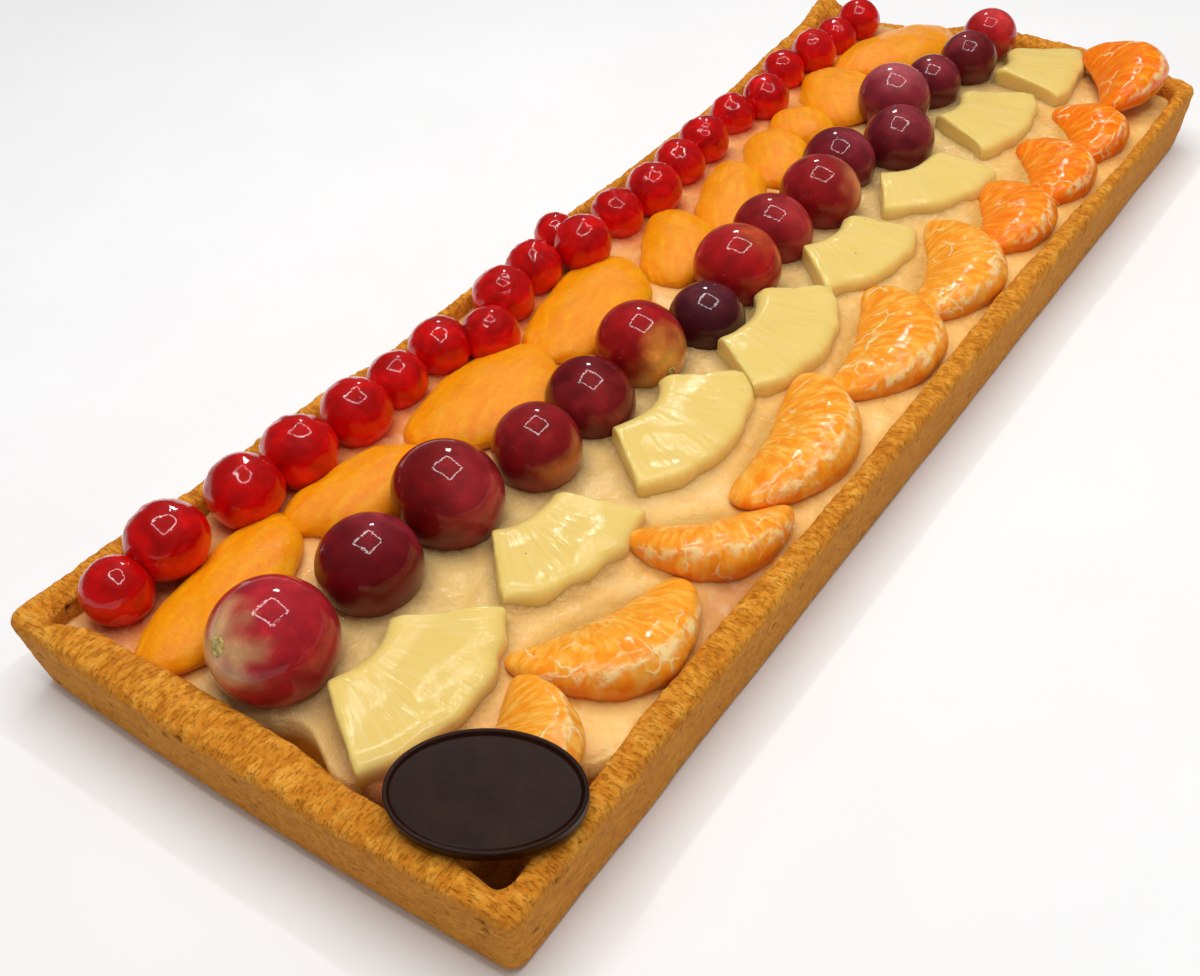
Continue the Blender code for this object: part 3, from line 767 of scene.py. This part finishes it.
# %% Stem scars
def make_scar_material():
    material, tree, shader = start_material(
        "stem_scar", {"Roughness": 0.4, "Coat Weight": 0.8, "Coat Roughness": 0.08}
    )
    where = place_of(tree)
    colour = steps(tree, cloud(tree, where, 0.8, 4.0, 0.6), (
        (0.3, (0.16, 0.080, 0.012)), (0.48, (0.46, 0.30, 0.050)), (0.7, (0.74, 0.60, 0.20)),
    ))
    tree.links.new(colour, shader.inputs["Base Color"])
    raise_bumps(tree, shader, cloud(tree, where, 0.5, 3.0), 0.5, 0.3)
    return material


scar_finish = make_scar_material()


def make_scar(grape, direction, size, name):
    low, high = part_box(grape)
    direction = Vector(direction).normalized()
    radii = (high - low) / 2 * 1.02
    reach = 1 / math.sqrt(sum((direction[i] / radii[i]) ** 2 for i in range(3)))
    bm = bmesh.new()
    profile = ((0.0, 0.35), (0.35, 0.15), (0.62, 0.45), (0.85, 0.30), (1.0, -0.25), (0.0, -0.5))
    points = [bm.verts.new((across * size * MM, 0, up * MM)) for across, up in profile]
    edges = [bm.edges.new(pair) for pair in zip(points, points[1:])]
    bmesh.ops.spin(
        bm, geom=points + edges, cent=(0, 0, 0), axis=(0, 0, 1), angle=math.tau, steps=28,
        use_merge=True, use_duplicate=False,
    )
    bmesh.ops.remove_doubles(bm, verts=bm.verts, dist=0.01 * MM)
    push(bm, lambda point, normal: 0.10 * bumps(point, 0.8, 4.0))
    aim = direction.to_track_quat("Z", "Y").to_matrix().to_4x4()
    centre = (low + high) / 2 + direction * reach
    bmesh.ops.transform(bm, matrix=Matrix.Translation(centre) @ aim, verts=bm.verts)
    add_piece(bm, name, scar_finish)


make_scar("grape_01", (-0.14, -0.82, 0.55), 2.2, "scar_first_grape")
make_scar("grape_06", (0.93, -0.28, -0.10), 1.3, "scar_sixth_grape")

# %% [markdown]
# Apricot slices are soft, wet and orange, with fibres that run along the slice. A wood texture would
# give stripes that are too regular. The fibres here are noise that is squeezed across the slice, and
# they are both pushed into the mesh and used for the colour.


# %% Apricot material
def make_apricot_material():
    material, tree, shader = start_material("apricot_flesh", {
        "Roughness": 0.5, "Specular IOR Level": 0.06, "Coat Weight": 0.6, "Coat Roughness": 0.05,
        "Subsurface Weight": 0.35, "Subsurface Radius": (1.0, 0.4, 0.05), "Subsurface Scale": 0.004,
    })
    where = place_of(tree)
    fibre = attribute(tree, "fibre")
    mottled = cloud(tree, where, 1.6, 5.0, 0.7, 0.8)
    tone = add(tree, "ShaderNodeMath", {0: fibre, 1: mottled}, operation="ADD").outputs[0]
    colour = steps(tree, window(tree, tone, 0.55, 1.5), (
        (0.0, (0.94, 0.235, 0.001)), (0.5, (0.98, 0.325, 0.002)), (1.0, (1.00, 0.470, 0.008)),
    ))
    tree.links.new(colour, shader.inputs["Base Color"])
    raise_bumps(tree, shader, cloud(tree, where, 1.2, 5.0, 0.7, 0.8), 0.60, 0.5)
    return material


apricot_finish = make_apricot_material()


# %% [markdown]
# Each slice is a CAD solid rounded by subdivision, fitted to the solid's box and then grown, mostly
# in width, because a rounded slice fills less of its box. Its own axes come from the spread of its
# points: the longest spread is the way the fibres run. The mandarins further on use the same helper.

# %% Long axes
def long_frame(bm):
    """The piece's middle and its own axes: along its length, across it, and up."""
    points = np.array([vert.co for vert in bm.verts])
    middle = points.mean(0)
    along = np.linalg.svd(points - middle, full_matrices=False)[2][0]
    along = Vector(along)
    along.z *= 0.3
    along.normalize()
    if along.y < 0:
        along = -along
    across = along.cross(Vector((0, 0, 1))).normalized()
    return Vector(middle), along, across, across.cross(along)


# %% Apricots
ROUNDING = 3
APRICOT_GROWTH = (1.50, 1.16, 1.12)


def make_apricot(name, index):
    bm = rounded_copy(name, ROUNDING, APRICOT_GROWTH)
    middle, along, across, up = long_frame(bm)

    def threads(point):
        from_middle = point - middle / MM
        place = Vector((from_middle.dot(along) / 9, from_middle.dot(across) / 1.6, 0))
        return noise.noise(place + Vector((index, from_middle.dot(up) / 2.5, 0)))

    push(bm, lambda p, n: 0.08 * threads(p) + 0.60 * bumps(p, 7, index) + 0.12 * bumps(p, 1.6, 2))
    layer = bm.verts.layers.float.new("fibre")
    for vert in bm.verts:
        vert[layer] = 0.5 + 0.35 * threads(vert.co / MM)
    add_piece(bm, name.replace("apricot", "apricot_slice"), apricot_finish, [name])


for index, name in enumerate(node_names("apricot")):
    make_apricot(name, index)

# %% [markdown]
# Pineapple comes as pieces of a cored ring: a flat, pale top, a rounded outer edge and fibres that
# run out from the core. The CAD solids have sharp corners that wouldn't round well, so the pieces are
# made anew from the same design values, which the list repeats.

# %% Pineapple values
# How deep a piece sinks into the cream, how far all are moved to the right, and how much they grow.
SUNK = 3.0
SHIFT = 0.8
NEAR_GROWTH, GROWTH_RISE = 1.07, 0.19
ROUNDED_EDGE = 1.2
# Along, ring centre across, core radius, outer radius, direction, spread, thickness, and lean.
PINEAPPLES = (
    (32.6, -7.4, 13.6, 35.0, 3.0, 76.0, 9.0, 4.0),
    (84.0, -5.0, 13.6, 32.6, -14.0, 66.0, 8.5, 3.0),
    (124.8, -4.4, 13.6, 32.8, 0.0, 80.0, 8.5, 3.0),
    (164.6, -2.0, 13.8, 32.0, 5.0, 80.0, 9.0, 4.0),
    (213.4, -4.6, 14.4, 32.0, -11.0, 62.0, 8.5, 3.0),
    (260.0, 0.5, 13.8, 29.8, -28.0, 66.0, 8.5, 3.0),
    (294.0, -5.6, 13.8, 32.6, 0.0, 60.0, 8.5, 3.0),
    (324.2, -3.8, 15.0, 33.6, 10.0, 48.0, 8.5, 3.0),
)


def make_pineapple_material():
    material, tree, shader = start_material("pineapple_flesh", {
        "Roughness": 0.5, "Specular IOR Level": 0.15, "Coat Weight": 0.6, "Coat Roughness": 0.06,
        "Subsurface Weight": 0.50, "Subsurface Radius": (1.0, 0.75, 0.3), "Subsurface Scale": 0.004,
    })
    where = place_of(tree)
    fan = add(tree, "ShaderNodeAttribute", attribute_name="fan").outputs["Vector"]
    streaks = add(tree, "ShaderNodeTexNoise", {
        "Vector": fan, "Scale": 1.0, "Detail": 4.0, "Roughness": 0.6, "Distortion": 0.3,
    }).outputs["Fac"]
    colour = steps(tree, window(tree, streaks, 0.28, 0.74), (
        (0.0, (0.80, 0.55, 0.16)), (0.45, (0.82, 0.62, 0.25)), (1.0, (0.86, 0.70, 0.37)),
    ))
    warm = window(tree, cloud(tree, where, 12.0, 3.0), 0.5, 0.75)
    colour = blend_colour(tree, times(tree, warm, 0.3), colour, (0.82, 0.58, 0.18))
    flank = attribute(tree, "flank")
    colour = blend_colour(tree, times(tree, flank, 0.6), colour, (0.84, 0.60, 0.13))
    fleck = window(tree, cloud(tree, where, 1.5, 2.0), 0.755, 0.79)
    colour = blend_colour(tree, fleck, colour, (0.25, 0.13, 0.03))
    tree.links.new(colour, shader.inputs["Base Color"])
    raise_bumps(tree, shader, streaks, 0.40, 0.4)
    return material


pineapple_finish = make_pineapple_material()


# %% [markdown]
# A piece starts as a short section that is spun about the ring's centre, so the fibres can be placed
# by angle. Then its edges are halved until it has enough points for ridges, and it is softened.
# Softening takes a little off, and the pieces grow larger towards the far end, so each is scaled.

# %% Pineapple pieces
def spin_piece(core, outer, spread, half):
    """A plain piece of a ring, round its own centre, with half its thickness given."""
    edge = ROUNDED_EDGE
    bm = bmesh.new()
    section = (
        (core + edge, -half), (outer - edge, -half), (outer - 0.3 * edge, edge - half),
        (outer, 0), (outer - 0.2 * edge, half - edge), (outer - 0.9 * edge, half - 0.25 * edge),
        (outer - 2 * edge, half), (core + edge, half), (core, half - edge), (core, edge - half),
    )
    points = [bm.verts.new((x * MM, 0, z * MM)) for x, z in section]
    start = bm.faces.new(points)
    first = Matrix.Rotation(math.radians(-spread / 2), 4, "Z")
    bmesh.ops.transform(bm, matrix=first, verts=bm.verts)
    bmesh.ops.spin(
        bm, geom=[start] + start.edges[:] + points, cent=(0, 0, 0), axis=(0, 0, 1),
        angle=math.radians(spread), steps=30, use_duplicate=False,
    )
    for _ in range(6):
        long_edges = [e for e in bm.edges if e.calc_length() > EDGE_LENGTH * MM]
        if long_edges:
            bmesh.ops.subdivide_edges(bm, edges=long_edges, cuts=1, use_grid_fill=True)
            bmesh.ops.triangulate(bm, faces=[f for f in bm.faces if len(f.verts) > 3])
    soften(bm, bm.verts[:], 6)
    return bm


def make_pineapple(name, index):
    along, across, core, outer, direction, spread, thickness, lean = PINEAPPLES[index]
    half = thickness / 2
    bm = spin_piece(core, outer, spread, half)

    def polar(point):
        return math.atan2(point.y, point.x) * outer, math.hypot(point.x, point.y)

    def relief(point, normal):
        around, out = polar(point)
        ridge = noise.noise(Vector((around / 1.7, out / 14, index)))
        lobe = smooth_step(out, outer - 4, outer) * noise.noise(Vector((around / 6, index, 0.3)))
        top = smooth_step(normal.z, 0.2, 0.8)
        return 0.08 * ridge + 1.0 * lobe * (1 - top) + 0.8 * bumps(point, 9, index)

    push(bm, relief)
    fan = bm.verts.layers.float_vector.new("fan")
    flank = bm.verts.layers.float.new("flank")
    bm.normal_update()
    for vert in bm.verts:
        around, out = polar(vert.co / MM)
        vert[fan] = (around / 1.5 + index * 9, out / 11, vert.co.z / MM / 3)
        vert[flank] = 1 - smooth_step(vert.normal.z, 0.1, 0.8)
    middle = Vector(((core + outer) / 2, 0, 0)) * MM
    tilt = Matrix.Rotation(math.radians(lean), 4, "Y")
    heading = Matrix.Rotation(math.radians(direction), 4, "Z")
    growth = NEAR_GROWTH + GROWTH_RISE * along / TART_LENGTH
    grown = Matrix.Diagonal((growth, growth, 1, 1))
    height = cream_level(NEAR_END + along) + half - SUNK
    centre = Vector((across + SHIFT, NEAR_END + along, height)) * MM
    place = Matrix.Translation(centre + heading @ middle) @ heading @ tilt
    place = place @ grown @ Matrix.Translation(-middle)
    bmesh.ops.transform(bm, matrix=place, verts=bm.verts)
    new_name = name.replace("pineapple", "pineapple_piece")
    add_piece(bm, new_name, pineapple_finish, [name])


for index, name in enumerate(node_names("pineapple")):
    make_pineapple(name, index)

# %% [markdown]
# A mandarin segment is a bag of juice sacs in a thin skin. The sacs show as pale streaks that fan out
# from the inner edge to the round back, so their noise is measured along that fan. Threads of white
# pith lie on the skin: they are the edges of a cell pattern, kept in some patches only, and a ragged
# line where the side of the segment turns into its back.


# %% Mandarin material
def make_mandarin_material():
    material, tree, shader = start_material("mandarin_segment", {
        "Roughness": 0.45, "Specular IOR Level": 0.08, "Coat Weight": 0.6, "Coat Roughness": 0.05,
        "Subsurface Weight": 0.35, "Subsurface Radius": (1.0, 0.4, 0.08), "Subsurface Scale": 0.004,
    })
    where = place_of(tree)
    fan = add(tree, "ShaderNodeAttribute", attribute_name="fan").outputs["Vector"]
    ripe = attribute(tree, "ripe")
    sacs = add(tree, "ShaderNodeTexNoise", {
        "Vector": fan, "Scale": 1.0, "Detail": 3.0, "Roughness": 0.55, "Distortion": 0.5,
    }).outputs["Fac"]
    pale = steps(tree, window(tree, sacs, 0.30, 0.72), (
        (0.0, (0.95, 0.290, 0.006)), (0.45, (0.97, 0.400, 0.025)), (1.0, (1.00, 0.600, 0.130)),
    ))
    deep = steps(tree, window(tree, sacs, 0.30, 0.72), (
        (0.0, (0.95, 0.140, 0.0005)), (0.55, (0.98, 0.220, 0.001)), (1.0, (1.00, 0.390, 0.020)),
    ))
    colour = blend_colour(tree, ripe, pale, deep)
    warp = add(tree, "ShaderNodeTexNoise", {"Vector": where, "Scale": 260.0}).outputs["Color"]
    bent = add(tree, "ShaderNodeMix", {0: 0.004, 4: where, 5: warp}, data_type="VECTOR")
    net = add(tree, "ShaderNodeTexVoronoi", {"Vector": bent.outputs[1], "Scale": 120.0},
              feature="DISTANCE_TO_EDGE").outputs["Distance"]
    thread = window(tree, net, 0.045, 0.012)
    patches = window(tree, cloud(tree, where, 9.0, 2.0), 0.52, 0.60)
    torn = window(tree, cloud(tree, where, 2.5, 3.0), 0.40, 0.55)
    ridge = times(tree, attribute(tree, "ridge"), torn)
    pith = add(tree, "ShaderNodeMath", {0: times(tree, thread, patches), 1: ridge},
               operation="MAXIMUM").outputs[0]
    colour = blend_colour(tree, times(tree, pith, 0.75), colour, (0.96, 0.74, 0.36))
    tree.links.new(colour, shader.inputs["Base Color"])
    relief = add(tree, "ShaderNodeMath", {0: sacs, 1: pith}, operation="ADD").outputs[0]
    raise_bumps(tree, shader, relief, 0.4, 0.45)
    return material


mandarin_finish = make_mandarin_material()

# %% [markdown]
# The CAD solid is rounded by subdivision, and its ends are bent inwards to a crescent. Each point
# then gets fan coordinates: an angle about the inner edge, and a distance from it. Bending the mesh
# by hand, rather than with a Simple Deform modifier, lets the same formula straighten the fan.

# %% Mandarins
# How ripe each segment is, from the near end to the far one: 0 is pale orange and 1 is deep orange.
RIPENESS = (0.25, 0.20, 0.35, 0.25, 0.30, 0.25, 0.80, 0.90, 1.0, 1.0)
# How far the ends bend inwards, as a share of half the length.
CRESCENT = 0.24
MANDARIN_GROWTH = (1.13, 1.10, 1.14)


def make_mandarin(name, index):
    bm = rounded_copy(name, ROUNDING, MANDARIN_GROWTH)
    middle, along, across, up = long_frame(bm)
    reach = max((vert.co - middle).dot(across) for vert in bm.verts) / MM
    length = max((vert.co - middle).dot(along) for vert in bm.verts) / MM

    def share_of_length(point):
        return (point - middle / MM).dot(along) / length

    for vert in bm.verts:
        share = share_of_length(vert.co / MM)
        vert.co += across * CRESCENT * length * (0.3 - share * share) * MM

    def fan_at(point):
        offset = point - middle / MM
        offset -= across * CRESCENT * length * (0.3 - share_of_length(point) ** 2)
        out = offset.dot(across) + reach * 1.6
        angle = math.atan2(offset.dot(along), out)
        return angle * 20, math.hypot(out, offset.dot(along) * 0.6), offset.dot(up)

    def relief(point, normal):
        angle, out, high = fan_at(point)
        sac = noise.noise(Vector((angle / 1.8, out / 6, high / 4 + index)))
        return 0.22 * sac + 0.35 * bumps(point, 6, index) + 0.05 * bumps(point, 1.5, 3)

    push(bm, relief)
    fan = bm.verts.layers.float_vector.new("fan")
    ripe = bm.verts.layers.float.new("ripe")
    ridge = bm.verts.layers.float.new("ridge")
    bm.normal_update()
    for vert in bm.verts:
        angle, out, high = fan_at(vert.co / MM)
        vert[fan] = (angle / 1.5 + index * 7, out / 5, high / 5)
        back = smooth_step(-high, -1.0, 4.0)
        vert[ripe] = min(1.0, RIPENESS[index] + 0.6 * back)
        turn = vert.normal.dot(across)
        shoulder = smooth_step(turn, 0.30, 0.48) * (1 - smooth_step(turn, 0.58, 0.74))
        vert[ridge] = shoulder * smooth_step(vert.normal.z, 0.1, 0.4)
    new_name = name.replace("mandarin", "mandarin_segment")
    add_piece(bm, new_name, mandarin_finish, [name])


for index, name in enumerate(node_names("mandarin")):
    make_mandarin(name, index)

# %% [markdown]
# The oval plaque is moulded dark chocolate with a raised, rounded border. It could be spun and
# squeezed, but that squeezes the border too. So a circle is stretched to an oval, filled and
# extruded, and its top is inset and sunk, which keeps the border even. A bevel rounds the edges.
# The plate leans across the corner, so it is turned to the CAD solid's pose at the end.


# %% Plaque
def make_chocolate_material():
    material, tree, shader = start_material("dark_chocolate", {
        "Roughness": 0.33, "Specular IOR Level": 0.14,
    })
    where = place_of(tree)
    colour = steps(tree, cloud(tree, where, 7.0, 4.0), (
        (0.3, (0.014, 0.003, 0.001)), (0.6, (0.024, 0.006, 0.002)), (0.8, (0.036, 0.011, 0.004)),
    ))
    tree.links.new(colour, shader.inputs["Base Color"])
    raise_bumps(tree, shader, cloud(tree, where, 3.0, 5.0, 0.6), 0.25, 0.25)
    return material


PLAQUE_SIZE = (35.0, 22.6, 3.0)
PLAQUE_TILT, PLAQUE_TURN = 14.0, 30.5
BORDER_TOP, BORDER_SLOPE, BORDER_HEIGHT = 0.75, 0.45, 0.55
PLAQUE_BEVEL = 0.28


def make_plaque():
    length, width, thickness = PLAQUE_SIZE
    bm = bmesh.new()
    bmesh.ops.create_circle(bm, cap_ends=True, segments=128, radius=0.5)
    bmesh.ops.scale(bm, vec=(length * MM, width * MM, 1), verts=bm.verts)
    bmesh.ops.translate(bm, vec=(0, 0, -thickness / 2 * MM), verts=bm.verts)
    raised = bmesh.ops.extrude_face_region(bm, geom=bm.faces[:])["geom"]
    top_verts = [item for item in raised if isinstance(item, bmesh.types.BMVert)]
    bmesh.ops.translate(bm, vec=(0, 0, thickness * MM), verts=top_verts)
    top = max(bm.faces, key=lambda face: face.calc_center_median().z)
    bmesh.ops.inset_region(bm, faces=[top], thickness=BORDER_TOP * MM, depth=0)
    slope = BORDER_SLOPE * MM
    bmesh.ops.inset_region(bm, faces=[top], thickness=slope, depth=-BORDER_HEIGHT * MM)
    bmesh.ops.recalc_face_normals(bm, faces=bm.faces)
    sharp = [e for e in bm.edges if len(e.link_faces) == 2 and e.calc_face_angle() > 0.5]
    bmesh.ops.bevel(
        bm, geom=sharp, offset=PLAQUE_BEVEL * MM, segments=4, profile=0.5, affect="EDGES",
        material=-1,
    )
    low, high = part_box("plaque")
    turn = Matrix.Rotation(math.radians(PLAQUE_TURN), 4, "Z")
    tilt = Matrix.Rotation(math.radians(PLAQUE_TILT), 4, "X")
    place = Matrix.Translation((low + high) / 2) @ turn @ tilt
    bmesh.ops.transform(bm, matrix=place, verts=bm.verts)
    add_piece(bm, "chocolate_plaque", make_chocolate_material(), ["plaque"])


make_plaque()

# %% [markdown]
# The floor is a plain pale sheet that reaches three metres from the tart on every side. A curved
# backdrop would hide its edge from low down, but the camera looks down and never sees the edge. Unlike
# the pieces, the floor isn't attached to the tart's body.


# %% Floor
FLOOR_REACH = 3


def make_floor():
    bm = bmesh.new()
    bmesh.ops.create_grid(bm, x_segments=1, y_segments=1, size=FLOOR_REACH)
    bmesh.ops.translate(bm, vec=(0, 0, -0.05 * MM), verts=bm.verts)
    mesh = bpy.data.meshes.new("floor")
    bm.to_mesh(mesh)
    bm.free()
    material, tree, shader = start_material("pale_floor", {"Roughness": 0.9})
    tone = steps(tree, cloud(tree, place_of(tree), 60.0, 2.0), (
        (0.3, (0.90, 0.90, 0.90)), (0.7, (0.93, 0.93, 0.93)),
    ))
    tree.links.new(tone, shader.inputs["Base Color"])
    mesh.materials.append(material)
    floor = bpy.data.objects.new("floor", mesh)
    bpy.context.scene.collection.objects.link(floor)


make_floor()


# %% [markdown]
# A square softbox hangs straight above, as its outline in every grape shows: four bright strips round
# a middle that shiny skins don't see. One plain lamp would put a white sheet on every grape. A small
# lamp behind the tart is seen by reflections alone, and puts sparks on whatever is wet. A pale world
# fills the shadows, but reflections see a darker room, which keeps the colours deep.

# %% Lights
SOFTBOX_POWER, STRIP_POWER, SPARK_POWER = 1.9, 0.90, 1.5
SPARK_PLACE = (-0.55, 0.75, 0.80)
SPARK_SIDE = 0.13
BOX_HEIGHT = 0.75
BOX_SIDE = 0.52
BOX_BACK = 0.02
STRIP_WIDTH = 0.035
ROOM_LIGHT, ROOM_IN_REFLECTIONS = 0.33, 0.06


def add_light(name, power, size, place, target=(0, 0, 0)):
    light = bpy.data.lights.new(name, "AREA")
    light.shape = "RECTANGLE"
    light.size, light.size_y = size
    light.energy = power
    lamp = bpy.data.objects.new(name, light)
    lamp.location = place
    aim = Vector(target) - Vector(place)
    lamp.rotation_euler = aim.to_track_quat("-Z", "Y").to_euler()
    bpy.context.scene.collection.objects.link(lamp)
    return lamp


spark_lamp = add_light("window", SPARK_POWER, (SPARK_SIDE, SPARK_SIDE), SPARK_PLACE)
spark_lamp.visible_diffuse = False
box_middle = (0, BOX_BACK, BOX_HEIGHT)
middle_lamp = add_light(
    "softbox_middle", SOFTBOX_POWER, (BOX_SIDE, BOX_SIDE), box_middle, (0, BOX_BACK, 0)
)
middle_lamp.visible_glossy = False
for side, (x, y) in enumerate(((-1, 0), (1, 0), (0, -1), (0, 1))):
    size = (STRIP_WIDTH, BOX_SIDE) if x else (BOX_SIDE, STRIP_WIDTH)
    spot = (x * BOX_SIDE / 2, BOX_BACK + y * BOX_SIDE / 2, BOX_HEIGHT - 0.01)
    add_light(f"softbox_edge_{side}", STRIP_POWER, size, spot, (spot[0], spot[1], 0))

# %% World
world = bpy.data.worlds.new("pale_room")
bpy.context.scene.world = world
world.use_nodes = True
background = world.node_tree.nodes["Background"]
background.inputs["Color"].default_value = (1.0, 0.99, 0.98, 1.0)
glossy = add(world.node_tree, "ShaderNodeLightPath").outputs["Is Glossy Ray"]
inputs = {"Value": glossy, "To Min": ROOM_LIGHT, "To Max": ROOM_IN_REFLECTIONS}
strength = add(world.node_tree, "ShaderNodeMapRange", inputs).outputs["Result"]
world.node_tree.links.new(strength, background.inputs["Strength"])
bpy.context.scene.view_settings.view_transform = "Standard"
print(len(bpy.data.lights), "lamps and a pale world")

# %% [markdown]
# The camera stands off the near right corner and looks down at the tart. Its three axes were worked
# out from the tray's straight edges, which is surer than turning a camera by eye until they fit.

# %% Camera
CAMERA_PLACE = (0.1528, -0.2620, 0.2205)
RIGHT = (0.8198, 0.5709, -0.0449)
UP = (-0.3504, 0.5620, 0.7492)
BACK = (0.4530, -0.5985, 0.6608)
camera_data = bpy.data.cameras.new("camera")
camera_data.lens = 42.68
camera_data.sensor_width = 36.0
camera_data.clip_start = 0.01
camera = bpy.data.objects.new("camera", camera_data)
turned = Matrix((RIGHT, UP, BACK)).transposed().to_4x4()
camera.matrix_world = Matrix.Translation(CAMERA_PLACE) @ turned
bpy.context.scene.collection.objects.link(camera)
bpy.context.scene.camera = camera
print("camera with a lens of", camera_data.lens, "mm")
